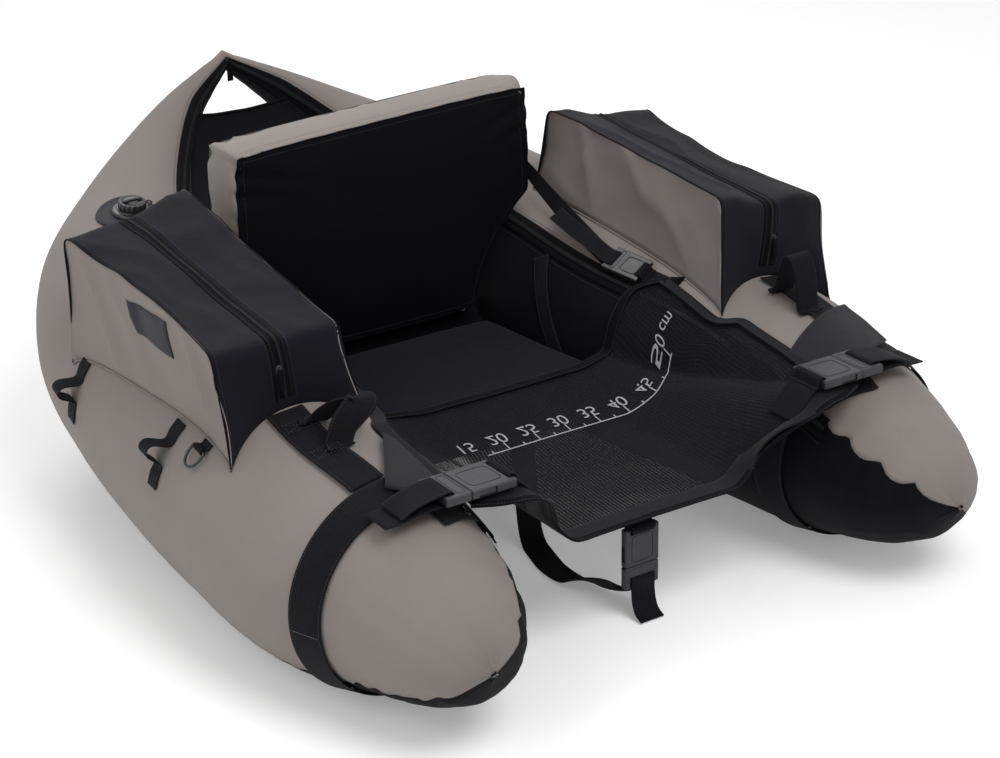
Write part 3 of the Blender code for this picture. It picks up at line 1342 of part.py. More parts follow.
def build_rear_panel():
    """Its edges follow a ridge of the bottom cover's facets, from behind the backrest on."""
    backrest_rear = (BACKREST_FACE_Y + BACKREST_THICK + BACKREST_CROWN + BACKREST_SKIN
                     + REAR_PANEL_CLEARANCE)
    upper, lower = [], []
    for s in RING_PLACES:
        angle = column_angles(s, "bottom")[-2]
        if hull_point(s, angle)[1] < backrest_rear or spine_at(s)[1] > REAR_PANEL_END_Y:
            continue
        turn = math.degrees(REAR_PANEL_THICK / spine_at(s)[3])
        for rows, turned_to in ((upper, angle), (lower, angle - turn)):
            edge = hull_point(s, turned_to, 3 * GAP)
            row = []
            for share in np.linspace(-1, 1, REAR_PANEL_COLUMNS + 1):
                sag = REAR_PANEL_SAG * (1 - share * share) * min(edge[0] / ARM_SPREAD * 2, 1.0)
                row.append((edge[0] * share, edge[1], edge[2] - sag))
            rows.append(row)
    sheet_solid("rear_panel", upper, lower, BLACK)


def build_all():
    envelopes = build_envelopes()
    build_hull()
    build_hull_zip()
    build_hull_pull()
    build_seat()
    build_sling(envelopes)
    build_backrest()
    build_rear_panel()
    apron_tabs = [build_crotch()]
    for side_name in SIDES:
        build_back_strap(side_name)
        build_bag(side_name, envelopes[side_name])
        build_bag_zip(side_name)
        build_handle(side_name)
        build_ring_strap(side_name)
        for end in ("front", "rear"):
            build_d_ring(side_name, end)
            build_rod_strap(side_name, end)
        apron_tabs.append(build_front_strap(side_name))
    build_apron(apron_tabs)


build_all()
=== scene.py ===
"""Float tube (belly boat), dressed with its cloth, mesh, webbing, zips, buckles and print.

The seated user faces -Y, so left is +X and right is -X. Z is up, the ground is z = 0. Metres.
"""

import math

import bpy
import numpy as np
from mathutils import Matrix, Vector, noise


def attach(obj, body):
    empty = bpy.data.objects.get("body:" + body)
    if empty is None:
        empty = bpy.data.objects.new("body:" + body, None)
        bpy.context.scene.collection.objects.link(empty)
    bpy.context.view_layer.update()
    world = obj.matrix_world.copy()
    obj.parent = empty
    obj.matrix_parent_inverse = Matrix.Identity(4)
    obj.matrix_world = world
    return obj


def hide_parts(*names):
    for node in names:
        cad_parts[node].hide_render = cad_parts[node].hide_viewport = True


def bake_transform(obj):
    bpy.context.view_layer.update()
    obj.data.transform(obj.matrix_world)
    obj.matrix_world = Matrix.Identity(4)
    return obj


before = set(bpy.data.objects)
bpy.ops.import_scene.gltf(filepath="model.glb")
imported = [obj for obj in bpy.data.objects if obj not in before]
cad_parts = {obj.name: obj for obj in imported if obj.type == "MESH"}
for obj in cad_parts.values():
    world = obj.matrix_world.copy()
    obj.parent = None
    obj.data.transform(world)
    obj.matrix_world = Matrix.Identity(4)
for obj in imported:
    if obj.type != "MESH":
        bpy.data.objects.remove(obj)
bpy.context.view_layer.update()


# Studio
# A still camera a little above the near arm, three soft lamps and a pale sweep of floor. The
# world and the floor show white behind the object without lighting it more.
AZIMUTH, ELEVATION, ROLL = -33.89, 23.22, -1.00
DISTANCE, LENS = 3.392, 87.08
AIM = (0.039, -0.0525, 0.193)
LAMPS = (("key", (0.1, -2.2, 3.1), 2.0, 60.0), ("side", (-2.6, -0.7, 2.0), 2.2, 19.0),
         ("back", (0.6, 2.4, 3.2), 2.2, 40.0))
WORLD_LIGHT, WORLD_SEEN, FLOOR_SEEN, FLOOR_SIZE = 0.50, 0.50, 0.22, 60.0

scene = bpy.context.scene
scene.view_settings.view_transform = "Standard"


def add_camera():
    az, el, turn = (math.radians(angle) for angle in (AZIMUTH, ELEVATION, ROLL))
    ahead = Vector((-math.sin(az) * math.cos(el), math.cos(az) * math.cos(el), -math.sin(el)))
    level = ahead.cross(Vector((0, 0, 1))).normalized()
    upright = level.cross(ahead)
    right = level * math.cos(turn) + upright * math.sin(turn)
    up = upright * math.cos(turn) - level * math.sin(turn)
    camera = bpy.data.objects.new("camera", bpy.data.cameras.new("camera"))
    camera.data.lens = LENS
    camera.matrix_world = Matrix((right, up, -ahead)).transposed().to_4x4()
    camera.matrix_world.translation = Vector(AIM) - ahead * DISTANCE
    scene.collection.objects.link(camera)
    scene.camera = camera


def add_lamp(name, place, size, power):
    lamp = bpy.data.objects.new(name, bpy.data.lights.new(name, "AREA"))
    lamp.data.shape = "DISK"
    lamp.data.size = size
    lamp.data.energy = power
    lamp.location = place
    lamp.rotation_euler = (Vector(AIM) - Vector(place)).to_track_quat("-Z", "Y").to_euler()
    scene.collection.objects.link(lamp)


add_camera()
for name, place, size, power in LAMPS:
    add_lamp(name, place, size, power)


class Number:
    """A node's output, on which plain arithmetic adds Math nodes."""

    def __init__(self, look, output):
        self.look = look
        self.output = output

    def math(self, operation, *others):
        made = self.look.node("ShaderNodeMath", {"operation": operation}, (self, *others))
        return Number(self.look, made.outputs[0])

    def __add__(self, other):
        return self.math("ADD", other)

    def __sub__(self, other):
        return self.math("SUBTRACT", other)

    def __mul__(self, other):
        return self.math("MULTIPLY", other)

    def __rsub__(self, other):
        return self * -1 + other

    def __gt__(self, other):
        return self.math("GREATER_THAN", other)

    __radd__ = __add__
    __rmul__ = __mul__

    def wave(self, pitch):
        return (self * (2 * math.pi / pitch)).math("SINE")


class Look:
    """A material on a Principled shader, to which nodes are added by kind, settings and sockets."""

    def __init__(self, name, colour, roughness, fixed=None, material=None):
        self.material = material or bpy.data.materials.new(name)
        self.material.use_nodes = True
        self.tree = self.material.node_tree
        self.colour = np.array(colour, dtype=float)
        self.normal = None
        if material is None:
            self.shader = self.tree.nodes["Principled BSDF"]
            self.set(self.shader, "Base Color", (*colour, 1.0))
            self.set(self.shader, "Roughness", roughness)
            for socket, value in (fixed or {}).items():
                self.set(self.shader, socket, value)

    def set(self, node, socket, value):
        if isinstance(value, Number):
            self.tree.links.new(value.output, node.inputs[socket])
        else:
            node.inputs[socket].default_value = value

    def node(self, kind, settings, inputs):
        made = self.tree.nodes.new(kind)
        for name, value in settings.items():
            setattr(made, name, value)
        for socket, value in (inputs.items() if isinstance(inputs, dict) else enumerate(inputs)):
            self.set(made, socket, value)
        return made

    def place(self, kind="Object"):
        return Number(self, self.node("ShaderNodeTexCoord", {}, {}).outputs[kind])

    def run(self):
        """Places across and along the cloth, in metres."""
        split = self.node("ShaderNodeSeparateXYZ", {}, (self.place("UV"),))
        return Number(self, split.outputs[0]), Number(self, split.outputs[1])

    def cloud(self, scale, detail=2.0, kind="Object"):
        inputs = {"Vector": self.place(kind), "Scale": scale, "Detail": detail}
        return Number(self, self.node("ShaderNodeTexNoise", {}, inputs).outputs["Fac"])

    def tint(self, share, dark, light):
        """Base colour between two multiples of the look's own colour."""
        ends = [(*np.minimum(self.colour * times, 1.0), 1.0) for times in (dark, light)]
        mixed = self.node("ShaderNodeMix", {"data_type": "RGBA"}, {0: share, 6: ends[0], 7: ends[1]})
        self.set(self.shader, "Base Color", Number(self, mixed.outputs[2]))

    def bump(self, height, distance):
        inputs = {"Height": height, "Distance": distance}
        if self.normal:
            inputs["Normal"] = self.normal
        self.normal = Number(self, self.node("ShaderNodeBump", {}, inputs).outputs[0])
        self.set(self.shader, "Normal", self.normal)


def seen_directly(look):
    """1 for rays that come from the camera, a mirror or clear plastic, and 0 for light's own."""
    path = look.node("ShaderNodeLightPath", {}, {})
    kinds = ("Is Camera Ray", "Is Glossy Ray", "Is Transmission Ray")
    camera, glossy, clear = (Number(look, path.outputs[kind]) for kind in kinds)
    return (camera + glossy + clear).math("MINIMUM", 1.0)


def add_backdrop():
    world = bpy.data.worlds.new("studio")
    world.use_nodes = True
    scene.world = world
    look = Look("studio", (1, 1, 1), 1.0, material=world)
    shell = world.node_tree.nodes["Background"]
    look.set(shell, "Color", (1.0, 1.0, 1.0, 1.0))
    look.set(shell, "Strength", seen_directly(look) * WORLD_SEEN + WORLD_LIGHT)
    paint = Look("pale_floor", (0.93, 0.93, 0.93), 0.9,
                 {"Specular IOR Level": 0.1, "Emission Color": (1, 1, 1, 1)})
    paint.tint(paint.cloud(3.0), 0.995, 1.005)
    paint.set(paint.shader, "Emission Strength", seen_directly(paint) * FLOOR_SEEN)
    bpy.ops.mesh.primitive_plane_add(size=FLOOR_SIZE)
    floor = bpy.context.object
    floor.name = "floor"
    floor.data.materials.append(paint.material)


add_backdrop()


# Hull
# Two tapered air arms meet in a raised rear point. Their cover is coated cloth, taupe over the
# top and black under the inner and outer seams, where the slack cloth draws into small puckers.
HULL_LENGTH, ARM_SPREAD, TUBE_RADIUS, REAR_RISE, GROUND_SINK = 1.30, 0.374, 0.170, 0.497, 0.004
# Place along the hull, distance from the middle, keel height and radius as shares of the lengths
# above, then the angle of the inner seam over the level
STATIONS = (
    (0.000, 0.979, 0.266, 0.000, 12.0), (0.014, 0.979, 0.183, 0.260, 16.0),
    (0.046, 0.973, 0.117, 0.470, 22.0), (0.092, 0.965, 0.076, 0.612, 29.0),
    (0.146, 0.965, 0.052, 0.716, 37.0), (0.208, 0.981, 0.018, 0.829, 42.0),
    (0.277, 1.000, 0.000, 0.900, 45.0), (0.385, 0.973, 0.000, 0.965, 48.0),
    (0.515, 0.922, 0.000, 1.000, 50.0), (0.646, 0.890, 0.048, 0.976, 52.0),
    (0.754, 0.848, 0.125, 0.924, 52.0), (0.838, 0.757, 0.268, 0.782, 46.0),
    (0.900, 0.612, 0.449, 0.571, 34.0), (0.946, 0.447, 0.636, 0.376, 22.0),
    (0.981, 0.246, 0.829, 0.200, 13.0), (1.000, 0.000, 1.000, 0.071, 6.0),
)
OUTER_SEAM, NOSE_SLACK, NOSE_SLACK_RUN = 225.0, 0.014, 0.20
SCALLOP_PITCH, SCALLOP_BACK, SCALLOP_DEPTH, OUTER_SCALLOP = 0.046, 0.004, 0.013, 0.6
PUCKER_PITCH, PUCKER_DEPTH, PUCKER_REACH, OUTER_PUCKER_REACH = 0.034, 0.0009, 0.016, 0.022
COVER_SLACK, NOSE_GATHER, NOSE_FOLDS_END = 0.0011, 0.0030, 0.40
COVER_ROWS, COVER_COLUMNS = 170, 44
BLADDER_SLACK, BLADDER_ENDS, BLADDER_RINGS, BLADDER_SIDES = 0.0105, (0.03, 0.93), 90, 40
SIDES = {"left": 1.0, "right": -1.0}


def unit(vector):
    vector = np.asarray(vector, dtype=float)
    return vector / np.linalg.norm(vector)


def spine_table():
    rows = np.array(STATIONS)
    radius = rows[:, 3] * TUBE_RADIUS
    rows = np.column_stack([rows[:, 1] * ARM_SPREAD, (rows[:, 0] - 0.5) * HULL_LENGTH,
                            rows[:, 2] * REAR_RISE + radius - GROUND_SINK, radius, rows[:, 4]])
    along = np.concatenate([[0], np.cumsum(np.linalg.norm(np.diff(rows[:, :3], axis=0), axis=1))])
    return along, rows, np.gradient(rows, along, axis=0)


SPINE = spine_table()
SPINE_END = SPINE[0][-1]


def spine_at(s):
    """Centre, radius and seam angle at a distance s along an arm's axis."""
    along, rows, slopes = SPINE
    span = int(np.clip(np.searchsorted(along, s) - 1, 0, len(along) - 2))
    length = along[span + 1] - along[span]
    t = (s - along[span]) / length
    start = 2 * t**3 - 3 * t**2 + 1
    return (start * rows[span] + (t**3 - 2 * t**2 + t) * length * slopes[span]
            + (1 - start) * rows[span + 1] + (t**3 - t**2) * length * slopes[span + 1])


SPINE_PLACES = np.linspace(0, SPINE_END, 400)
SPINE_Y = [spine_at(s)[1] for s in SPINE_PLACES]


def spine_from_y(y):
    return float(np.interp(y, SPINE_Y, SPINE_PLACES))


def ramp(value, start=0.0, end=1.0):
    """A smooth change from 0 to 1."""
    share = np.clip((np.asarray(value, dtype=float) - start) / (end - start), 0.0, 1.0)
    return share * share * (3 - 2 * share)


def hull_row(s, angles, lift=0.0, side=1.0):
    """Points round an arm at a distance along it: 0 degrees faces the middle and 90 is up."""
    row = spine_at(s)
    small = SPINE_END / 10000
    forward = unit(spine_at(min(s + small, SPINE_END))[:3] - spine_at(max(s - small, 0))[:3])
    inward = unit(np.cross((0, 0, 1), forward))
    up = np.cross(forward, inward)
    turns = np.radians(np.atleast_1d(angles).astype(float))[:, None]
    reach = row[3] + np.broadcast_to(lift, len(turns))[:, None]
    points = row[:3] + (inward * np.cos(turns) + up * np.sin(turns)) * reach
    points[:, 2] = np.maximum(points[:, 2], 0.0)
    short = 1.0 - float(ramp(s, 0.0, NOSE_SLACK_RUN))
    points[:, 1] += NOSE_SLACK * short
    points[:, 2] += NOSE_SLACK * 0.5 * short * np.clip((row[2] - points[:, 2]) / 0.1, 0, 1)
    if s >= SPINE_END:
        points = points - forward * points[:, :1] / forward[0]
    points[:, 0] *= side
    return points


def hull_point(s, angle, lift=0.0, side=1.0):
    return hull_row(s, angle, lift, side)[0]


def hull_axes(s, angle, side=1.0):
    """Directions off the hull, rearwards along it and round it."""
    step = 0.003
    rearward = unit(hull_point(s + step, angle, 0, side) - hull_point(s - step, angle, 0, side))
    around = unit(hull_point(s, angle + 1, 0, side) - hull_point(s, angle - 1, 0, side))
    outward = unit(np.cross(around, rearward)) * side
    return outward, rearward, around


def hull_height(x, y, lift=0.0):
    centre_x, _, centre_z, radius, _ = spine_at(spine_from_y(y))
    inside = (radius + lift) ** 2 - (abs(x) - centre_x) ** 2
    return centre_z + math.sqrt(inside) if inside > 0 else 0.0


def drift(point, scale, seed=0.0):
    """Smooth seeded noise from -1 to 1."""
    x, y, z = (float(value) * scale for value in point)
    return noise.noise(Vector((x + seed * 17.3, y - seed * 9.1, z + seed * 5.7)))


def place_piece(name, mesh, body, stands_for=None):
    made = bpy.data.objects.new(name, mesh)
    scene.collection.objects.link(made)
    if body:
        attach(made, body)
    if stands_for:
        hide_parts(stands_for)
    return made


def add_piece(name, verts, faces, look, body="hull", slot=None, stands_for=None, uvs=None):
    """A piece in place, which rides on a body; uvs holds a pair in metres for each face corner."""
    mesh = bpy.data.meshes.new(name)
    verts, faces = [tuple(map(float, vert)) for vert in verts], [tuple(map(int, face)) for face in faces]
    mesh.from_pydata(verts, [], faces)
    mesh.materials.append(look.material)
    if uvs is not None:
        mesh.uv_layers.new(name="cloth").data.foreach_set("uv", np.asarray(uvs, dtype=np.float32).ravel())
    mesh.shade_smooth()
    return place_piece(name, mesh, body, stands_for)


def grid_faces(rows, columns, closed=False, start=0):
    """Faces of a grid of points; a closed one joins its last column to its first."""
    faces = []
    for row in range(rows - 1):
        for column in range(columns if closed else columns - 1):
            after = (column + 1) % columns
            a, b = start + row * columns + column, start + row * columns + after
            faces.append((a, b, b + columns, a + columns))
    return faces


def cloth_run(points):
    """Mean running lengths across and along a grid."""
    points = np.asarray(points, dtype=float)
    down = np.linalg.norm(np.diff(points, axis=0), axis=2).mean(axis=1)
    over = np.linalg.norm(np.diff(points, axis=1), axis=2).mean(axis=0)
    return np.concatenate([[0], np.cumsum(over)]), np.concatenate([[0], np.cumsum(down)])


def add_cloth(name, points, look, thick=0.0015, outwards=None, **more):
    """A sheet through a grid of points, with its wall on the side away from its outward hint."""
    points = np.asarray(points, dtype=float)
    rows, columns, _ = points.shape
    across, along = cloth_run(points)
    faces = grid_faces(rows, columns)
    if outwards is not None:
        a, b, c, _ = faces[len(faces) // 2]
        flat = points.reshape(-1, 3)
        if np.dot(np.cross(flat[b] - flat[a], flat[c] - flat[a]), outwards) < 0:
            faces = [face[::-1] for face in faces]
    uvs = [(across[vert % columns], along[vert // columns]) for face in faces for vert in face]
    made = add_piece(name, points.reshape(-1, 3), faces, look, uvs=uvs, **more)
    wall = made.modifiers.new("wall", "SOLIDIFY")
    wall.thickness = thick
    wall.offset = -1.0
    return made


def coated_cloth(name, colour, roughness, specular, sheen, mottle, crease, pitch=0.0011):
    """Plain weave under a thin coat: fine ribs both ways, soft stains and shallow creases."""
    look = Look(name, colour, roughness, {"Specular IOR Level": specular, "Sheen Weight": sheen})
    soft = look.cloud(6.0, 4.0) * 0.75 + look.cloud(160.0, 2.0) * 0.25
    look.tint(soft, 1 - mottle, 1 + mottle)
    look.set(look.shader, "Roughness", look.cloud(14.0, 3.0) * 0.16 + (roughness - 0.08))
    look.bump(look.cloud(22.0, 3.0), crease)
    across, along = look.run()
    look.bump(across.wave(pitch) * along.wave(pitch), 0.00012)
    return look


taupe = coated_cloth("taupe_cloth", (0.246, 0.214, 0.202), 0.66, 0.20, 0.08, 0.07, 0.0016)
black = coated_cloth("black_cloth", (0.0026, 0.0024, 0.0042), 0.64, 0.06, 0.02, 0.25, 0.0016)


def cover_lift(s, angles, side):
    """Puckers at both seams, folds at the nose and slack between them; all go inwards."""
    radius, seam = spine_at(s)[3:]
    nose = 1 - ramp(s, 0.02, NOSE_FOLDS_END)
    apex = ramp(s, SPINE_END - 0.30, SPINE_END - 0.05)

    def fold_at(angle):
        off_inner = abs(math.remainder(angle - seam, 360.0)) * math.pi / 180 * radius
        off_outer = abs(angle - OUTER_SEAM) * math.pi / 180 * radius
        shift = 2.2 * drift((s, angle / 200, side), 9.0)
        ripple = 0.5 + 0.5 * math.sin(2 * math.pi * s / PUCKER_PITCH + shift * 2)
        inner = PUCKER_DEPTH + 0.0034 * nose + 0.0014 * apex
        inner *= math.exp(-off_inner / (PUCKER_REACH + 0.02 * nose))
        outer = (0.0011 + 0.0030 * nose) * math.exp(-off_outer / OUTER_PUCKER_REACH)
        slack = COVER_SLACK * (0.5 + 0.5 * drift((s * 3, angle / 40, side * 3), 2.2, 3.0))
        gather = NOSE_GATHER * nose * (0.5 + 0.5 * drift((angle / 9, s * 5, side), 1.0, 5.0))
        return -(inner * ripple + outer * ripple + slack + gather * min(radius / 0.06, 1.0))

    # Past the outer seam the folds turn into those of the inner seam, so that both edges meet
    folds = []
    for angle in angles:
        round_again = float(ramp(angle, OUTER_SEAM + 10, seam + 345))
        folds.append(fold_at(angle) * (1 - round_again) + fold_at(angle - 360) * round_again)
    return np.array(folds)


def scallop(s):
    """Degrees by which the gathered seams at a nose stand back between the lobes of the top."""
    gathered = float(ramp(s, 0.004, 0.03) * (1 - ramp(s, 0.17, 0.24)))
    wave = 1.0 - abs(math.sin(math.pi * s / SCALLOP_PITCH + 0.4 * math.sin(31.0 * s)))
    return gathered * math.degrees((SCALLOP_BACK + SCALLOP_DEPTH * wave) / max(spine_at(s)[3], 0.05))


def cover_points(low, high):
    """Rows from the right nose over the apex to the left nose; low and high are angles by place."""
    places = (np.linspace(0, 1, COVER_ROWS) ** 1.15) * SPINE_END
    places[0] = SPINE_END / 1500
    rows = []
    for side in (-1.0, 1.0):
        half = []
        for s in places:
            angles = np.linspace(low(s), high(s), COVER_COLUMNS + 1)
            half.append(hull_row(s, angles, cover_lift(s, angles, side), side))
        rows += half if side < 0 else half[-2::-1]
    return rows


def inner_edge(s):
    return spine_at(s)[4] + scallop(s)


def outer_edge(s):
    return OUTER_SEAM - OUTER_SCALLOP * scallop(s)


add_cloth("hull_top", cover_points(inner_edge, outer_edge), taupe,
          outwards=(0, 0, 1), slot="taupe_fabric", stands_for="top_cover")
add_cloth("hull_bottom", cover_points(outer_edge, lambda s: inner_edge(s) + 360), black,
          outwards=(0, 0, -1), slot="black_fabric", stands_for="bottom_cover")


def add_capped(name, rings, look, **more):
    """A closed form through rings of points, whose ends are drawn to their middles."""
    rings = [np.asarray(ring, dtype=float) for ring in rings]
    count = len(rings[0])
    verts = np.concatenate(rings + [[rings[0].mean(axis=0)], [rings[-1].mean(axis=0)]])
    faces = grid_faces(len(rings), count, True)
    first, last, start = len(verts) - 2, len(verts) - 1, (len(rings) - 1) * count
    faces += [(first, (k + 1) % count, k) for k in range(count)]
    faces += [(last, start + k, start + (k + 1) % count) for k in range(count)]
    half_way = len(rings) // 2
    a, b, c, _ = faces[count * half_way]
    if np.dot(np.cross(verts[b] - verts[a], verts[c] - verts[a]), verts[a] - rings[half_way].mean(axis=0)) < 0:
        faces = [face[::-1] for face in faces]
    return add_piece(name, verts, faces, look, **more)


film = Look("bladder_film", (0.46, 0.46, 0.42), 0.35, {"Specular IOR Level": 0.5, "Coat Weight": 0.2})
film.tint(film.cloud(12.0, 3.0), 0.9, 1.08)
film.bump(film.cloud(30.0, 3.0), 0.0008)


for arm, side in SIDES.items():
    rings = []
    for share in np.linspace(*BLADDER_ENDS, BLADDER_RINGS):
        angles = np.linspace(0, 360, BLADDER_SIDES + 1)[:-1]
        slack = [-BLADDER_SLACK - 0.0015 * drift((share * 9, angle / 30, side), 1.2, 8.0) for angle in angles]
        rings.append(hull_row(share * SPINE_END, angles, np.array(slack), side))
    for end, order in ((0, 1), (-1, -1)):
        middle = rings[end].mean(axis=0)
        shrunk = [middle + (rings[end] - middle) * size for size in (0.35, 0.75)]
        rings = shrunk + rings if order > 0 else rings + shrunk[::-1]
    add_capped(arm + "_bladder_film", rings, film, slot="bladder_film", stands_for=arm + "_bladder")


# Hull zip
# A long coil zip lets the bladders out. It follows the inner seam of both arms over the apex,
# on a black woven tape with a sewn hem at each edge, and its pull hangs in the apex corner.
TAPE_HALF, TAPE_LIFT, ZIP_START, ZIP_PLACES = 0.0135, 0.0013, 0.175, 110
TAPE_SHARES = (-1.0, -0.92, -0.55, -0.28, -0.2, 0.0, 0.2, 0.28, 0.55, 0.92, 1.0)
TAPE_LIFTS = (0.0, 1.0, 0.8, 0.9, 1.9, 2.1, 1.9, 0.9, 0.8, 1.0, 0.0)
COIL_OFF, TAPE_STITCH_AT, SEAM_STITCHES = 0.10, 0.74, (0.0185, -0.0200)

tape = coated_cloth("zip_tape", (0.0032, 0.0031, 0.0043), 0.74, 0.05, 0.02, 0.25, 0.0003, 0.0009)
coil = Look("zip_coil", (0.010, 0.010, 0.011), 0.40, {"Specular IOR Level": 0.3})
coil.tint(coil.cloud(300.0), 0.6, 1.6)
coil.bump(coil.cloud(900.0), 0.0001)
thread = Look("black_thread", (0.024, 0.024, 0.028), 0.60, {"Specular IOR Level": 0.35})
thread.tint(thread.cloud(500.0), 0.7, 1.5)
thread.bump(thread.cloud(2500.0), 0.0001)
pale_thread = Look("taupe_thread", (0.30, 0.27, 0.245), 0.60, {"Specular IOR Level": 0.3})
pale_thread.tint(pale_thread.cloud(500.0), 0.85, 1.1)
pale_thread.bump(pale_thread.cloud(2500.0), 0.0001)


def row_tree():
    """Small rounded bars in a row along lines, turned to each line and to its facing."""
    tree = bpy.data.node_groups.new("row_along_lines", "GeometryNodeTree")
    sockets = tree.interface
    sockets.new_socket("Lines", in_out="INPUT", socket_type="NodeSocketGeometry")
    for name in ("Pitch", "Length", "Width", "Height"):
        sockets.new_socket(name, in_out="INPUT", socket_type="NodeSocketFloat")
    sockets.new_socket("Finish", in_out="INPUT", socket_type="NodeSocketMaterial")
    sockets.new_socket("Row", in_out="OUTPUT", socket_type="NodeSocketGeometry")

    def node(kind, settings=None, **inputs):
        made = tree.nodes.new(kind)
        for key, value in (settings or {}).items():
            setattr(made, key, value)
        for key, value in inputs.items():
            socket = made.inputs[key.replace("_", " ")]
            if hasattr(value, "is_output"):
                tree.links.new(value, socket)
            else:
                socket.default_value = value
        return made

    given = node("NodeGroupInput").outputs
    curve = node("GeometryNodeMeshToCurve", Mesh=given["Lines"])
    even = node("GeometryNodeResampleCurve", {"mode": "LENGTH"},
                Curve=curve.outputs[0], Length=given["Pitch"])
    facing = node("GeometryNodeInputNamedAttribute", {"data_type": "FLOAT_VECTOR"}, Name="facing")
    tangent = node("GeometryNodeInputTangent")
    along = node("FunctionNodeAlignRotationToVector", {"axis": "X"}, Vector=tangent.outputs[0])
    turned = node("FunctionNodeAlignRotationToVector", {"axis": "Z", "pivot_axis": "X"},
                  Rotation=along.outputs[0], Vector=facing.outputs[0])
    size = node("ShaderNodeCombineXYZ", X=given["Length"], Y=given["Width"], Z=given["Height"])
    bar = node("GeometryNodeMeshUVSphere", Segments=6, Rings=4, Radius=0.5)
    rows = node("GeometryNodeInstanceOnPoints", Points=even.outputs[0], Instance=bar.outputs[0],
                Rotation=turned.outputs[0], Scale=size.outputs[0])
    solid = node("GeometryNodeRealizeInstances", Geometry=rows.outputs[0])
    done = node("GeometryNodeSetMaterial", Geometry=solid.outputs[0], Material=given["Finish"])
    node("NodeGroupOutput", Row=done.outputs[0])
    return tree


ROW_TREE = row_tree()
SEWN = {}


def sew(points, facing, body="hull", kind="dark"):
    """Keeps a line to be sewn with thread; the lines of a body become one piece at the end."""
    points = np.asarray(points, dtype=float)
    facing = np.broadcast_to(np.asarray(facing, dtype=float), points.shape)
    SEWN.setdefault((body, kind), []).append((points, facing))


def plain_mesh(source):
    """The finished mesh of an object with its modifiers applied; the object itself goes."""
    done = bpy.data.meshes.new_from_object(source.evaluated_get(bpy.context.evaluated_depsgraph_get()))
    bpy.data.objects.remove(source)
    return done


def add_rows(name, lines, sizes, look, body="hull"):
    """Runs the tree over lines of points with their facings, and keeps the result as a mesh."""
    verts = np.concatenate([points for points, _ in lines])
    facings = np.concatenate([facing for _, facing in lines])
    edges, start = [], 0
    for points, _ in lines:
        edges += [(start + k, start + k + 1) for k in range(len(points) - 1)]
        start += len(points)
    mesh = bpy.data.meshes.new(name + "_lines")
    mesh.from_pydata([tuple(map(float, vert)) for vert in verts], edges, [])
    facing_row = mesh.attributes.new("facing", "FLOAT_VECTOR", "POINT")
    facing_row.data.foreach_set("vector", facings.astype(np.float32).ravel())
    source = bpy.data.objects.new(name + "_lines", mesh)
    scene.collection.objects.link(source)
    step = source.modifiers.new("row", "NODES")
    step.node_group = ROW_TREE
    given = {item.name: item.identifier for item in ROW_TREE.interface.items_tree if item.in_out == "INPUT"}
    for key, value in zip(("Pitch", "Length", "Width", "Height"), sizes):
        step[given[key]] = value
    step[given["Finish"]] = look.material
    result = plain_mesh(source)
    result.shade_smooth()
    return place_piece(name, result, body)


def seam_line(turn, lift):
    """Points and facings along both inner seams over the apex, some metres round from the seam."""
    points, facings = [], []
    for side in (-1.0, 1.0):
        half = []
        for s in np.linspace(ZIP_START, SPINE_END, ZIP_PLACES):
            row = spine_at(s)
            angle = row[4] + math.degrees(turn / max(row[3], 0.03))
            point = hull_point(s, angle, lift, side)
            half.append((point, unit(point - row[:3] * (side, 1, 1))))
        half = half if side < 0 else half[-2::-1]
        points += [point for point, _ in half]
        facings += [facing for _, facing in half]
    return np.array(points), np.array(facings)


tape_grid = [seam_line(share * TAPE_HALF, TAPE_LIFT * lift)[0] for share, lift in zip(TAPE_SHARES, TAPE_LIFTS)]
add_cloth("hull_zip_tape", np.array(tape_grid).transpose(1, 0, 2), tape, 0.0009, (0.2, 0, 1),
          slot="zip_tape", stands_for="hull_zip")
coil_lines = [seam_line(share * TAPE_HALF, TAPE_LIFT * 2.5) for share in (-COIL_OFF, COIL_OFF)]
add_rows("hull_zip_coil", coil_lines, (0.0022, 0.0014, 0.0030, 0.0018), coil)
for share in (-TAPE_STITCH_AT, TAPE_STITCH_AT):
    sew(*seam_line(share * TAPE_HALF, TAPE_LIFT))
for turn in SEAM_STITCHES:
    sew(*seam_line(turn, 0.0002))


def curve_through(points, step=0.004):
    """A denser smooth line through rows of numbers."""
    points = np.asarray(points, dtype=float)
    padded = np.vstack([2 * points[0] - points[1], points, 2 * points[-1] - points[-2]])
    line = []
    for k in range(1, len(padded) - 2):
        before, here, after, beyond = padded[k - 1:k + 3]
        count = max(2, int(np.linalg.norm((after - here)[:3]) / step))
        for t in np.arange(count) / count:
            line.append((2 * t**3 - 3 * t**2 + 1) * here + (t**3 - 2 * t**2 + t) * (after - before) / 2
                        + (3 * t**2 - 2 * t**3) * after + (t**3 - t**2) * (beyond - here) / 2)
    return np.array(line + [points[-1]])


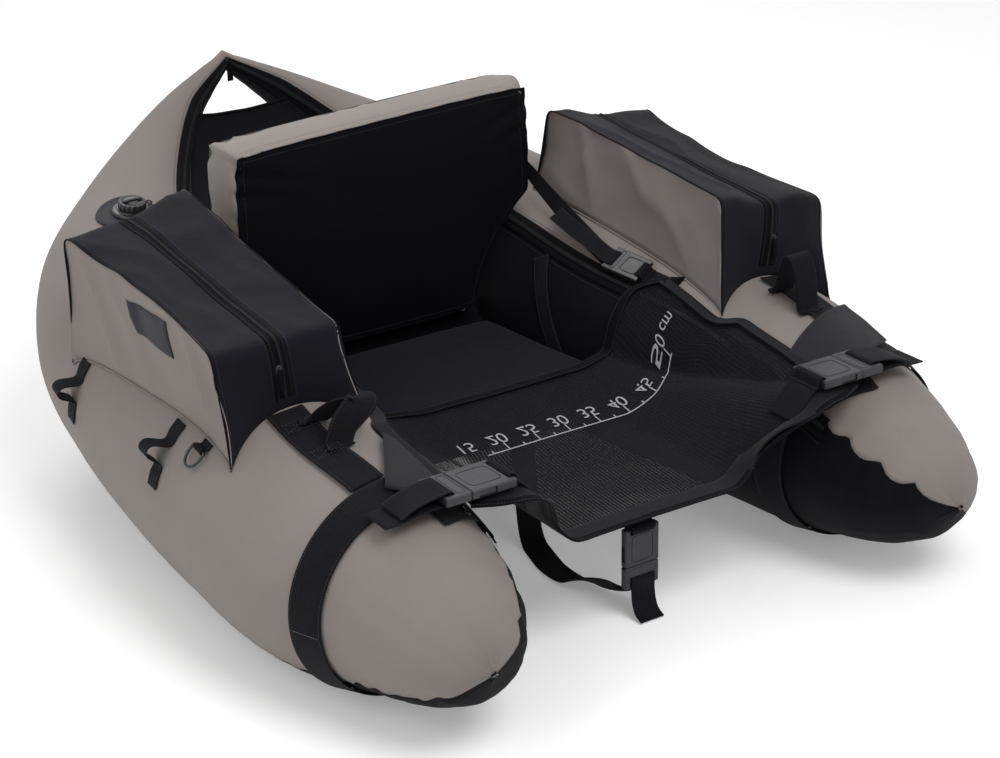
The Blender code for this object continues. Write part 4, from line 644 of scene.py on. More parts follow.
def add_round(name, points, radius, look, closed=False, sides=8, slot="black_plastic", **more):
    """A round cord, wire or piping through points."""
    points = np.asarray(points, dtype=float)
    if closed:
        tangents = np.roll(points, -1, axis=0) - np.roll(points, 1, axis=0)
    else:
        tangents = np.gradient(points, axis=0)
    square = (0, 0, 1) if abs(unit(tangents[0])[2]) < 0.9 else (1, 0, 0)
    normal = unit(np.cross(tangents[0], square))
    radii = np.broadcast_to(radius, len(points))
    turns = 2 * math.pi * np.arange(sides) / sides
    verts, along = [], np.concatenate([[0], np.cumsum(np.linalg.norm(np.diff(points, axis=0), axis=1))])
    for point, tangent, reach in zip(points, tangents, radii):
        tangent = unit(tangent)
        normal = unit(normal - tangent * np.dot(normal, tangent))
        other = np.cross(tangent, normal)
        verts += [point + (normal * math.cos(turn) + other * math.sin(turn)) * reach for turn in turns]
    faces = grid_faces(len(points), sides, True)
    last = (len(points) - 1) * sides
    if closed:
        faces += [(last + k, last + (k + 1) % sides, (k + 1) % sides, k) for k in range(sides)]
    else:
        faces += [tuple(reversed(range(sides))), tuple(last + k for k in range(sides))]
    uvs = [(vert % sides * radii[0], along[vert // sides]) for face in faces for vert in face]
    return add_piece(name, verts, faces, look, uvs=uvs, slot=slot, **more)


WEBBING_THICK = 0.0020
WEB_SHARES = (-0.5, -0.485, -0.44, -0.3, -0.1, 0.1, 0.3, 0.44, 0.485, 0.5)
WEB_THICK_SHARES = (0.3, 0.75, 1.0, 0.94, 1.0, 1.0, 0.94, 1.0, 0.75, 0.3)


def webbing_look(name, colour):
    """Ribs across a woven strap, a herringbone along it, and firmer selvedges; its colour is painted lighter on
    the ribs and darker in the grooves as light and shade, over random tone.
    """
    look = Look(name, colour, 0.66, {"Specular IOR Level": 0.06, "Sheen Weight": 0.02})
    across, along = look.run()
    slant = along + across.math("PINGPONG", 0.0045)
    relief = along.wave(0.0021) * 0.45 + slant.wave(0.0029) * 0.55
    # Painted light and shade: the base colour rises with the rib height, lighter on the ribs and darker in the
    # grooves, times random tone from the cloud.
    look.tint((relief * 0.35 + 0.5) * (look.cloud(45.0, 3.0) + 0.35), 0.35, 2.6)
    look.bump(relief, 0.0004)
    return look


webbing = webbing_look("black_webbing", (0.0052, 0.0050, 0.0068))


def add_web(name, keys, across, width, look=None, thick=WEBBING_THICK, step=0.004, sewn=True,
            slot="black_webbing", **more):
    """Webbing through key points, with a direction across it for all of them or for each."""
    keys = np.asarray(keys, dtype=float)
    across = np.broadcast_to(np.asarray(across, dtype=float), keys.shape)
    line = curve_through(np.hstack([keys, across]), step)
    tangents = np.gradient(line[:, :3], axis=0)
    tops, lows = [], []
    for row, tangent in zip(line, tangents):
        side = unit(row[3:] - tangent * np.dot(row[3:], tangent) / np.dot(tangent, tangent))
        normal = unit(np.cross(side, tangent))
        spots = [row[:3] + side * share * width for share in WEB_SHARES]
        tops.append([spot + normal * thick / 2 * deep for spot, deep in zip(spots, WEB_THICK_SHARES)])
        lows.append([spot - normal * thick / 2 * deep for spot, deep in zip(spots, WEB_THICK_SHARES)])
    tops, lows = np.array(tops), np.array(lows)
    loops = np.concatenate([tops, lows[:, ::-1]], axis=1)
    count = loops.shape[1]
    over, along = cloth_run(tops)
    over = np.concatenate([over, over[::-1]])
    faces = grid_faces(len(loops), count, True)
    last = (len(loops) - 1) * count
    faces += [tuple(range(count))[::-1], tuple(last + k for k in range(count))]
    uvs = [(over[vert % count], along[vert // count]) for face in faces for vert in face]
    made = add_piece(name, loops.reshape(-1, 3), faces, look or webbing, uvs=uvs, slot=slot, **more)
    if sewn:
        for column in (2, -3):
            sew(tops[:, column], tops[:, column] - lows[:, column], more.get("body", "hull"))
    return made, tops


EYE, EYE_RADIUS, PULL_DROP, PULL_WIDE = np.array((0, 0.632118, 0.504359)), 0.0045, 0.030, 0.010


def turns_round(count):
    return np.linspace(0, 2 * math.pi, count + 1)[:-1]


pull_keys = [EYE + (0, -0.001, 0.001), EYE + (0, -0.0016, -PULL_DROP * 0.4),
             EYE + (0.0005, -0.0012, -PULL_DROP)]
add_web("hull_zip_pull_tab", pull_keys, (1, 0, 0), PULL_WIDE, tape, 0.0018, body="hull_pull_body",
        slot="zip_tape", stands_for="hull_zip_pull")
eye_ring = [EYE + (EYE_RADIUS * math.cos(t), 0, EYE_RADIUS * math.sin(t) + 0.002) for t in turns_round(16)]
add_round("hull_zip_pull_eye", eye_ring, 0.0011, coil, closed=True, body="hull_pull_body")


# Valves
# Each bladder fills through a screw valve: a round patch is welded on the cover, and the valve's
# ribbed cap stands on a flanged collar, kept by a thin tether.
VALVE_SPOT = (0.2933, 0.396967, 0.383501)
VALVE_OUT = (-0.013038, -0.160996, 0.986869)
VALVE_S = spine_from_y(HULL_LENGTH * 0.3489)
PATCH_RADIUS, COLLAR_RADIUS, CAP_RADIUS = 0.054, 0.029, 0.0205
PATCH_SHARES = (0.40, 0.62, 0.66, 0.92, 0.96, 1.0)
PATCH_LIFTS = (0.0022, 0.0020, 0.0024, 0.0024, 0.0030, 0.0004)
PATCH_STITCH_AT, CAP_RIBS, CAP_RIB_DEPTH = 0.88, 16, 0.0016
GRIP_HALF, GRIP_RADIUS, GRIP_HIGH, GRIP_ARCH, TETHER_RADIUS = 0.0150, 0.0024, 0.0212, 0.0016, 0.0011
# Radius, height over the spot and whether the ribs show there
COLLAR_PROFILE = ((0.016, -0.004, 0), (0.0225, 0.0, 0), (COLLAR_RADIUS, 0.0022, 0), (COLLAR_RADIUS, 0.0040, 0),
                  (0.0275, 0.0062, 0), (0.0225, 0.0068, 0), (0.0218, 0.0085, 0), (0.0190, 0.0088, 0),
                  (0.015, 0.0088, 0))
CAP_PROFILE = ((0.0160, 0.0085, 0), (0.0196, 0.0086, 1), (CAP_RADIUS, 0.0096, 1), (CAP_RADIUS, 0.0172, 1),
               (0.0194, 0.0189, 0.6), (0.0168, 0.0196, 0), (0.0150, 0.0186, 0), (0.0085, 0.0186, 0),
               (0.0074, 0.0200, 0), (0.0010, 0.0203, 0))
# Way out from the spot and height over it
TETHER = ((0.026, 0.0062), (0.031, 0.0105), (0.0255, 0.0150), (0.0205, 0.0135))

plastic = Look("satin_plastic", (0.0115, 0.0115, 0.0130), 0.34, {"Specular IOR Level": 0.5})
plastic.tint(plastic.cloud(35.0, 3.0), 0.7, 1.4)
plastic.set(plastic.shader, "Roughness", plastic.cloud(150.0, 3.0) * 0.2 + 0.25)
plastic.bump(plastic.cloud(1500.0), 0.00006)
patch_cloth = coated_cloth("patch_cloth", (0.0180, 0.0165, 0.0240), 0.52, 0.16, 0.05, 0.15, 0.0004)


def mirrored(points, side):
    return np.asarray(points) * (side, 1, 1)


def add_turned(name, profile, look, spot, outwards, steps=48, ribs=0, rib_depth=0.0, **more):
    """A moulded piece of revolution; profile rows are radius, height and whether its ribs show."""
    z = unit(outwards)
    x = unit(np.cross((0, 1, 0), z))
    y = np.cross(z, x)
    verts = []
    for radius, height, ribbed in profile:
        for step in range(steps):
            turn = 2 * math.pi * step / steps
            reach = max(radius - ribbed * rib_depth * (0.5 - 0.5 * math.cos(turn * ribs)) ** 2, 0.00002)
            verts.append(np.array(spot) + (x * math.cos(turn) + y * math.sin(turn)) * reach + z * height)
    faces = grid_faces(len(profile), steps, True)
    last = (len(profile) - 1) * steps
    faces += [tuple(reversed(range(steps))), tuple(last + k for k in range(steps))]
    made = add_piece(name, verts, faces, look, **more)
    made.data.set_sharp_from_angle(angle=math.radians(38))
    return made


# The place round the arm where the valve's spot lies
VALVE_ANGLE = float(min(np.linspace(60, 130, 400),
                        key=lambda angle: np.linalg.norm(hull_point(VALVE_S, angle) - VALVE_SPOT)))


def patch_points(side, reach_shares, lifts):
    radius = spine_at(VALVE_S)[3]
    rows = []
    for reach, lift in zip(reach_shares, lifts):
        row = []
        for turn in np.linspace(0, 2 * math.pi, 49):
            s = VALVE_S + reach * PATCH_RADIUS * math.cos(turn)
            angle = VALVE_ANGLE + math.degrees(reach * PATCH_RADIUS * math.sin(turn) / radius)
            row.append(hull_point(s, angle, lift, side))
        rows.append(row)
    return rows


for arm, side in SIDES.items():
    spot, out = mirrored(VALVE_SPOT, side), mirrored(VALVE_OUT, side)
    add_cloth(arm + "_patch", patch_points(side, PATCH_SHARES, PATCH_LIFTS), patch_cloth, 0.0012, out,
              slot="dark_fabric", stands_for=arm + "_valve_patch")
    sew(patch_points(side, (PATCH_STITCH_AT,), (0.0026,))[0], out)
    add_turned(arm + "_collar", COLLAR_PROFILE, plastic, spot, out, slot="black_plastic",
               stands_for=arm + "_valve_body")
    add_turned(arm + "_cap", CAP_PROFILE, plastic, spot, out, 6 * CAP_RIBS, CAP_RIBS, CAP_RIB_DEPTH,
               body=arm + "_valve_cap_body", slot="black_plastic", stands_for=arm + "_valve_cap")
    bar_x = unit(np.cross((0, 1, 0), out))
    bar = [spot + bar_x * share * GRIP_HALF + out * (GRIP_HIGH - GRIP_ARCH * share * share)
           for share in np.linspace(-1, 1, 9)]
    add_round(arm + "_cap_grip", bar, GRIP_RADIUS, plastic, body=arm + "_valve_cap_body")
    tether = curve_through([spot + bar_x * away + out * height for away, height in TETHER], 0.001)
    add_round(arm + "_cap_tether", tether, TETHER_RADIUS, plastic)


# Seat
# A padded cushion of dark cloth lies on a black sling, which hangs between the arms from a
# webbing on each side. Its top is crowned, its border seam is piped, and its front edge is rolled.
SEAT_REAR, SEAT_FRONT, SEAT_TOP, SEAT_THICK, SEAT_GAP = 0.155, -0.150, 0.205, 0.050, 0.006
SLING_REAR, SLING_FRONT, SLING_HIGH = 0.205, -0.158, 0.2056
SEAT_CROWN, SEAT_DIP, SEAT_ROLL, SEAT_PLACES, SEAT_STITCH_AT = 0.007, 0.0022, 0.017, 41, 0.90
SEAT_PIPING, SEAT_WEB_WIDE = 0.0024, 0.025
# The sling's webbings run forward from the first of these places and down round the arm
SEAT_WEB_FROM, SEAT_WEB_RUN = (0.117, 44.0), (-0.134, -52.0)

navy = coated_cloth("dark_cloth", (0.0066, 0.0060, 0.0102), 0.64, 0.08, 0.03, 0.20, 0.0030)


def inner_wall(y):
    centre_x, _, _, radius, _ = spine_at(spine_from_y(y))
    return centre_x - radius


def seat_point(u, v, top):
    """A place on the cushion: u across and v from the front, both from -1 to 1."""
    y = SEAT_FRONT + (SEAT_REAR - SEAT_FRONT) * (v + 1) / 2
    corner = (abs(u) * abs(v)) ** 5
    half = inner_wall(y) - SEAT_GAP
    edge = max(abs(u), abs(v))
    roll = 1 - (1 - edge ** 7) ** 0.5
    crown = SEAT_CROWN * (1 - u * u) * (1 - v * v)
    dip = SEAT_DIP * drift((u * 1.3, v * 1.3, 4.0), 1.6, 2.0)
    x = half * u * (1 - 0.05 * corner)
    y -= 0.010 * corner * np.sign(v)
    high = SEAT_TOP - 0.006 - SEAT_ROLL * roll + crown + dip * (1 - edge ** 4)
    low = SEAT_TOP - SEAT_THICK + 0.0175 * roll
    return np.array((x, y, high if top else low))


def closed_pad(name, point, size, look, **more):
    """A pad from a function of two places and its face, with both faces joined round the edge."""
    places = np.sin(np.linspace(-1, 1, size) * math.pi / 2)
    front = [point(u, v, True) for v in places for u in places]
    back = [point(u, v, False) for v in places for u in places]
    count = size * size
    faces = grid_faces(size, size)
    faces += [tuple(vert + count for vert in reversed(face)) for face in grid_faces(size, size)]
    border = list(range(size)) + [r * size + size - 1 for r in range(1, size)]
    border += [count - 1 - k for k in range(1, size)] + [r * size for r in range(size - 2, 0, -1)]
    for here, after in zip(border, border[1:] + border[:1]):
        faces.append((after, here, here + count, after + count))
    verts = np.array(front + back)
    uvs = [(verts[vert][0], verts[vert][1] + verts[vert][2]) for face in faces for vert in face]
    return add_piece(name, verts, faces, look, uvs=uvs, **more), border, verts


cushion, border, pad = closed_pad("seat_pad", seat_point, SEAT_PLACES, navy, slot="dark_fabric",
                                  stands_for="seat_cushion")
welt = [pad[k] * 0.62 + pad[k + SEAT_PLACES ** 2] * 0.38 for k in border]
add_round("seat_piping", welt, SEAT_PIPING, black, closed=True, slot="black_fabric")
way = np.linspace(-1, 1, 30)
square = [(u, -1) for u in way] + [(1, v) for v in way] + [(-u, 1) for u in way] + [(-1, -v) for v in way]
inset = [seat_point(u * SEAT_STITCH_AT, v * SEAT_STITCH_AT, True) + (0, 0, 0.0004) for u, v in square]
sew(inset, (0, 0, 1))


def sling_rows():
    low = SEAT_TOP - SEAT_THICK - 0.0013
    side_view = [(y, low) for y in np.linspace(SLING_FRONT, SEAT_REAR, 12)]
    side_view += [(0.172, low + 0.004), (0.186, low + 0.014), (0.197, low + 0.030), (SLING_REAR, SLING_HIGH)]
    rows = []
    for y, z in side_view:
        centre_x, _, centre_z, radius, _ = spine_at(spine_from_y(y))
        reach = centre_x - math.sqrt(max(radius ** 2 - (z - centre_z) ** 2, 0.0)) - 0.0004
        rows.append([(reach * u, y, z - 0.002 * (1 - u * u) * (z < 0.16)) for u in np.linspace(-1, 1, 25)])
    return rows


sling = add_cloth("seat_sling_cloth", sling_rows(), black, 0.0018, (0, 0, 1), slot="black_fabric",
                  stands_for="seat_sling")


def hull_web(name, path, width, side, **more):
    """Webbing sewn on an arm along places (distance, angle)."""
    points = [hull_point(s, angle, 0.0022, side) for s, angle in path]
    outs = [hull_axes(s, angle, side)[0] for s, angle in path]
    runs = np.gradient(np.array(points), axis=0)
    add_web(name, points, [np.cross(run, out) for run, out in zip(runs, outs)], width, **more)


for arm, side in SIDES.items():
    path = [(spine_from_y(SEAT_WEB_FROM[0] + SEAT_WEB_RUN[0] * t), SEAT_WEB_FROM[1] + SEAT_WEB_RUN[1] * t)
            for t in np.linspace(0, 1, 7)]
    hull_web(arm + "_seat_web", path, SEAT_WEB_WIDE, side)


# Backrest
# An inflated pad with a smooth black face, a taupe gusset sewn round it with piping, and a taupe
# back. Its foot is sewn to the sling, on which it folds forward, and two webbings hold it up.
BACK_Y, BACK_THICK, BACK_LOW, BACK_HIGH = 0.1685, 0.078, 0.2085, 0.5230
BACK_HALF, BACK_FOOT_HALF, BACK_SHOULDER = 0.2405, 0.148, 0.375
BACK_TILT, BACK_CROWN, BACK_BULGE, BACK_DRAW, CORE_INSET = 0.0090, 0.015, 0.0100, 0.0035, 0.007
# Reach from a corner, drop below it and depth of the folds in the face
CORNER_FOLDS = ((0.34, 0.16, 0.0055), (0.26, 0.34, 0.0045))
BACK_WALL, BACK_FILL, PIPING, FACE_STITCH_AT, GUSSET_STITCHES = 0.0012, 0.9, 0.0009, 0.955, (0.14, 0.86)

face_cloth = coated_cloth("face_cloth", (0.0024, 0.0022, 0.0038), 0.62, 0.05, 0.01, 0.22, 0.0016)
gusset_cloth = coated_cloth("gusset_cloth", (0.285, 0.250, 0.232), 0.66, 0.20, 0.08, 0.06, 0.0016)


def back_point(u, v, depth, proud=0.0016):
    """A place on the pad: u across and v up from -1 to 1, depth 0 at the face and 1 at the back."""
    z = BACK_LOW + (BACK_HIGH - BACK_LOW) * (v + 1) / 2
    rise = np.clip((z - BACK_LOW) / (BACK_SHOULDER - BACK_LOW), 0, 1)
    corner = (abs(u) * abs(v)) ** 6
    half = BACK_FOOT_HALF + (BACK_HALF - BACK_FOOT_HALF) * rise ** 2
    half -= BACK_DRAW * (corner + v * v * abs(u) / 3)
    z += BACK_TILT * u * max(v, 0.0) - BACK_DRAW * (corner + u * u / 3) * v
    crown = BACK_CROWN * (1 - abs(u) ** 3.2) * (1 - abs(v) ** 3.2)
    bulge = BACK_BULGE * (1 - (2 * depth - 1) ** 2)
    edge = max(abs(u), abs(v))
    out = np.array((np.sign(u) * abs(u) ** 9, 0, np.sign(v) * abs(v) ** 9))
    pull = 0.0016 * (edge ** 10) * math.sin(u * 26 + v * 31) * (1 - depth)
    y = BACK_Y + BACK_THICK * depth + (crown + proud) * (2 * depth - 1)
    y += 0.0026 * drift((u * 1.4, v * 1.4, depth * 2), 1.7, 6.0) * (1 - edge ** 6)
    for reach, drop, deep in CORNER_FOLDS:
        line = v - (0.93 - drop) + 0.45 * (1 - abs(u) - reach * 0.5)
        fold = math.exp(-(line / 0.045) ** 2) * math.exp(-((1 - abs(u)) / reach) ** 2)
        y += deep * fold * (1 - depth) * (v > 0)
    return np.array((u * half, y - pull * 0.5, z)) + out * (bulge + proud)


def rim_places(count):
    """Places round a square from -1 to 1."""
    way = np.linspace(-1, 1, count + 1)[:-1]
    low, high = [(u, -1.0) for u in way], [(-u, 1.0) for u in way]
    return low + [(1.0, v) for v in way] + high + [(-1.0, -v) for v in way]


places = np.sin(np.linspace(-1, 1, 49) * math.pi / 2)
face = add_cloth("backrest_front", [[back_point(u, v, 0) for u in places] for v in places], face_cloth,
                 BACK_WALL, (0, -1, 0), body="backrest", slot="black_fabric", stands_for="backrest_face")
add_cloth("backrest_rear", [[back_point(u, v, 1) for u in places] for v in places], gusset_cloth,
          BACK_WALL, (0, 1, 0), body="backrest", slot="taupe_fabric")
rim = rim_places(48)
rows = []
for depth in np.linspace(0, 1, 13):
    row = []
    for number, (u, v) in enumerate(rim + rim[:1]):
        spot = back_point(u, v, depth)
        inward = -np.array((np.sign(u) * abs(u) ** 9, 0, np.sign(v) * abs(v) ** 9))
        corner = (abs(u) * abs(v)) ** 3
        wave = math.sin(number * 0.9 + 3 * math.sin(number * 0.31))
        ripple = (0.0016 + 0.0034 * corner) * wave * math.exp(-min(depth, 1 - depth) * (9 - 6 * corner))
        row.append(spot + inward * (ripple + 0.0010))
    rows.append(row)
gusset = add_cloth("backrest_sides", rows, gusset_cloth, BACK_WALL, (0, 0, -1), body="backrest",
                   slot="taupe_fabric", stands_for="backrest_gusset")
core_places = [(share, 0.0) for share in (0.1, 0.4, 0.7, 0.9)]
core_places += [(0.965, depth) for depth in (0.08, 0.3, 0.5, 0.7, 0.92)]
core_places += [(share, 1.0) for share in (0.9, 0.7, 0.4, 0.1)]
rings = [[back_point(u * share, v * share, depth, -CORE_INSET) for u, v in rim] for share, depth in core_places]
core = add_capped("backrest_core_film", rings, film, body="backrest", slot="bladder_film",
                  stands_for="backrest_core")
for depth, name in ((0.0, "front"), (1.0, "rear")):
    add_round("backrest_piping_" + name, [back_point(u, v, depth) for u, v in rim], PIPING, face_cloth,
              closed=True, body="backrest", slot="black_fabric")
for depth in GUSSET_STITCHES:
    line = [back_point(u, v, depth) for u, v in rim + rim[:1]]
    middle = np.mean(line, axis=0)
    sew(line, [unit((spot - middle) * (1, 0, 1)) for spot in line], "backrest", "pale")
line = [back_point(u * FACE_STITCH_AT, v * FACE_STITCH_AT, 0) for u, v in rim + rim[:1]]
sew(line, (0, -1, 0), "backrest")


# Rear panel
# Black cloth laced taut between the arms behind the backrest. It ends short of the apex, where a
# bound edge leaves a gap that shows the ground through it.
PANEL_FRONT, PANEL_REAR, PANEL_SAG, PANEL_HEM = 0.278, 0.6255, 0.012, 0.0026


def rear_row(s, lift=0.0):
    """The panel's line between the arms, a sixth of the way below their inner seams."""
    seam = spine_at(s)[4]
    angle = 280.0 + (seam + 360 - 280.0) / 6 * 5
    x, y, z = hull_point(s, angle, 0.0009)
    sag = PANEL_SAG * min(x / ARM_SPREAD * 2, 1.0)
    return [(x * u, y, z + lift - sag * (1 - u * u) + 0.0008 * drift((u, s * 6, 1), 2.3, 7.0))
            for u in np.linspace(-1, 1, 25)]


rear_places = [s for s in np.linspace(0, SPINE_END, 300)
               if hull_point(s, 390)[1] > PANEL_FRONT and spine_at(s)[1] < PANEL_REAR]
rear = add_cloth("rear_cloth", [rear_row(s) for s in rear_places[::4] + rear_places[-1:]], black, 0.0016,
                 (0, 0, 1), slot="black_fabric", stands_for="rear_panel")
for s, name in ((rear_places[0], "front"), (rear_places[-1], "rear")):
    add_round("rear_cloth_binding_" + name, rear_row(s, 0.0004), PANEL_HEM, tape, slot="black_fabric")


# Side bags
# Each arm carries an upright bag. One dark panel wraps over its rear, top and front, and sags a
# little; taupe panels close its sides. A coil zip runs over the top and down the front.
BAG_INNER, BAG_WIDTH, BAG_REAR, BAG_FRONT = 0.306, 0.180, 0.2055, -0.2075
BAG_HIGH, BAG_OUTER_DROP, BAG_FRONT_DROP = 0.472, 0.027, 0.032
BAG_INNER_LEAN, BAG_OUTER_LEAN, BAG_FLARE = 0.008, 0.015, 0.030
BAG_VALLEY, BAG_SWELL, BAG_FOLD, BAG_CREASE = 0.0075, 0.0035, 0.0105, 0.0042
BAG_ZIP_HALF, BAG_ZIP_LOW, BAG_ZIP_COIL_AT, BAG_ZIP_STITCHES = 0.013, 0.330, 0.06, (-0.72, 0.72, -1.18, 1.18)
BAG_TAPE_SHARES = (-1.0, -0.9, -0.5, -0.22, -0.15, 0.15, 0.22, 0.5, 0.9, 1.0)
BAG_TAPE_LIFTS = (0.0002, 0.0011, 0.0009, 0.0011, 0.0020, 0.0020, 0.0011, 0.0009, 0.0011, 0.0002)
BAG_PIPING, BAG_HEM, BAG_WALL = 0.0010, 0.0014, 0.0013
WRAP_REAR, WRAP_TOP, WRAP_FRONT, WRAP_COLUMNS = 14, 46, 18, 29
SIDE_PLACES, SIDE_HEIGHTS = 48, 16
# How far the top sags at the front of its inner edge, and the seed of the bag's folds
BAG_SAGS = {"left": (-0.004, 12.0), "right": (0.030, 15.0)}
SLIDER_AT, SLIDER_EYE, SLIDER_SIDES, BAG_PULL_WIDE = 0.365, (0.396, -0.2157, 0.371), 20, 0.0075
# Height, half width and half depth of each of the slider's levels
SLIDER_LEVELS = ((-0.0012, 0.0012, 0.0004), (0.0, 0.0030, 0.0016), (0.003, 0.0044, 0.0022),
                 (0.009, 0.0044, 0.0022), (0.012, 0.0032, 0.0016), (0.0130, 0.0012, 0.0004))
# The sewn patch on the near bag, as places along and up its outer side
PATCH_CORNERS = ((0.041, 0.403), (-0.073, 0.409), (-0.082, 0.363), (0.020, 0.363))


def bag_top(a, y):
    return BAG_HIGH - BAG_OUTER_DROP * a - BAG_FRONT_DROP * (BAG_REAR - y) / (BAG_REAR - BAG_FRONT)


def on_hull(x, y):
    return max(hull_height(x, y, 0.0006), 0.20)


def bag_wrap(sag, seed):
    """The dark panel's grid of points, from the rear foot over the top to the front foot."""
    rows = []
    stations = [("rear", w) for w in np.linspace(0, 1, WRAP_REAR)]
    stations += [("top", w) for w in np.linspace(0, 1, WRAP_TOP)[1:-1]]
    stations += [("front", w) for w in np.linspace(1, 0, WRAP_FRONT)]
    for kind, w in stations:
        row = []
        for a in np.linspace(0, 1, WRAP_COLUMNS):
            off = abs(2 * a - 1)
            lean = BAG_INNER_LEAN + (BAG_OUTER_LEAN - BAG_INNER_LEAN) * a
            y = {"rear": BAG_REAR, "front": BAG_FRONT}.get(kind, BAG_REAR + (BAG_FRONT - BAG_REAR) * w)
            x, high = BAG_INNER + BAG_WIDTH * a, bag_top(a, y)
            share = (BAG_REAR - y) / (BAG_REAR - BAG_FRONT)
            arch = math.sin(math.pi * min(max(share, 0), 1))
            valley = BAG_VALLEY * (1 - 0.35 * share) * math.exp(-(off / 0.42) ** 2)
            loft = 0.006 * (1 - a) * (1 - share * 0.6) - 0.004 * a * arch
            loft -= sag * (1 - a) * ramp(share, 0.1, 1.0)
            crease = 1 - abs(drift((a * 1.6 + y * 3, y * 6 - a * 1.5, 5), 1.4, seed))
            high += loft - valley + 0.0030 * drift((a * 2, y * 9, 2), 1.3, seed + 1)
            high += BAG_CREASE * (crease ** 6 - 0.4)
            x -= 0.016 * arch * ramp(a, 0.35, 1.0) - 0.005 * arch * (1 - ramp(a, 0.0, 0.5))
            if kind == "top":
                row.append((x, y, high))
                continue
            flare = 0.010 * (1 - w) ** 2 * off ** 2
            if kind == "front":
                flare = BAG_FLARE * (1 - w) ** 2.2 * off ** 2.4
            swell = BAG_SWELL * math.sin(math.pi * w) * (1 - math.exp(-(off / 0.25) ** 2))
            swell += 0.0070 * drift((a * 3.2, w * 1.4, 7), 1.1, seed + 2) * math.sin(math.pi * w)
            y += (flare + swell) * (-1 if kind == "front" else 1)
            x -= lean * (1 - w) - 0.012 * (2 * a - 1) * (1 - w) ** 2.5
            foot = on_hull(x, y)
            row.append((x, y, foot + (high - foot) * w))
        rows.append(row)
    grid = np.array(rows)
    for _ in range(3):
        grid[1:-1] = grid[1:-1] * 0.5 + (grid[:-2] + grid[2:]) * 0.25
    return grid


def bag_side(edge, a, seed):
    """A side panel between the wrap's edge and the arm: a patch through its four borders."""
    first, last = WRAP_REAR - 1, WRAP_REAR + WRAP_TOP - 3
    rear, top, front = edge[:first + 1], edge[first:last + 1], edge[last:][::-1]

    def sample(line, share):
        places = np.linspace(0, 1, len(line))
        return np.array([np.interp(share, places, line[:, k]) for k in range(3)])

    lean = BAG_INNER_LEAN + (BAG_OUTER_LEAN - BAG_INNER_LEAN) * a
    foot = []
    for q in np.linspace(0, 1, SIDE_PLACES):
        y = rear[0][1] + (front[0][1] - rear[0][1]) * q
        ends = rear[0][0] + (front[0][0] - rear[0][0]) * q
        x = ends + (BAG_INNER + BAG_WIDTH * a - lean - ends) * math.sin(math.pi * q) ** 0.5
        foot.append((x, y, on_hull(x, y)))
    foot[0], foot[-1] = rear[0], front[0]
    foot = np.array(foot)
    outwards = 1 if a > 0.5 else -1
    grid = []
    for w in np.linspace(0, 1, SIDE_HEIGHTS):
        row = []
        for number, q in enumerate(np.linspace(0, 1, SIDE_PLACES)):
            point = foot[number] * (1 - w) + sample(top, q) * w
            point = point + sample(rear, w) * (1 - q) + sample(front, w) * q
            point = point - (foot[0] * (1 - q) * (1 - w) + foot[-1] * q * (1 - w)
                             + top[0] * (1 - q) * w + top[-1] * q * w)
            swell = 0.005 * math.sin(math.pi * q) * math.sin(math.pi * w)
            ridge = 1 - abs(drift((q * 4.5 + w * 0.5, w * 0.7 + q * 2, a * 5 + 1), 1.0, seed))
            fold = BAG_FOLD * (ridge ** 5 - 0.45) + 0.0030 * drift((q * 9, w * 3, a), 1.0, seed)
            row.append(point + (outwards * (swell + fold * math.sin(math.pi * w) ** 0.7), 0, 0))
        grid.append(row)
    return np.array(grid)


def across_grid(grid, row, column, lift=0.0):
    """A place on a grid by fractional row and column, moved off it along its normal."""
    rows, columns, _ = grid.shape
    r, c = min(max(row, 0), rows - 1.001), min(max(column, 0), columns - 1.001)
    i, j = int(r), int(c)
    f, g = r - i, c - j
    near, far = grid[i:i + 2, j], grid[i:i + 2, j + 1]
    point = (near[0] * (1 - f) + near[1] * f) * (1 - g) + (far[0] * (1 - f) + far[1] * f) * g
    normal = unit(np.cross(grid[i + 1, j] - grid[i, j], grid[i, j + 1] - grid[i, j]))
    return point + normal * lift


middle = (WRAP_COLUMNS - 1) / 2
per_column = BAG_WIDTH / (WRAP_COLUMNS - 1)
front_corner = WRAP_REAR + WRAP_TOP - 3


def wrap_line(wrap, rows, share, lift):
    """A line along the wrap, some shares of the zip tape's half width from its middle."""
    return [across_grid(wrap, row, middle + share * BAG_ZIP_HALF / per_column, lift) for row in rows]


def squircle(turn, power):
    """A place on a rounded square of half size 1."""
    return (np.sign(math.cos(turn)) * abs(math.cos(turn)) ** power,
            np.sign(math.sin(turn)) * abs(math.sin(turn)) ** power)


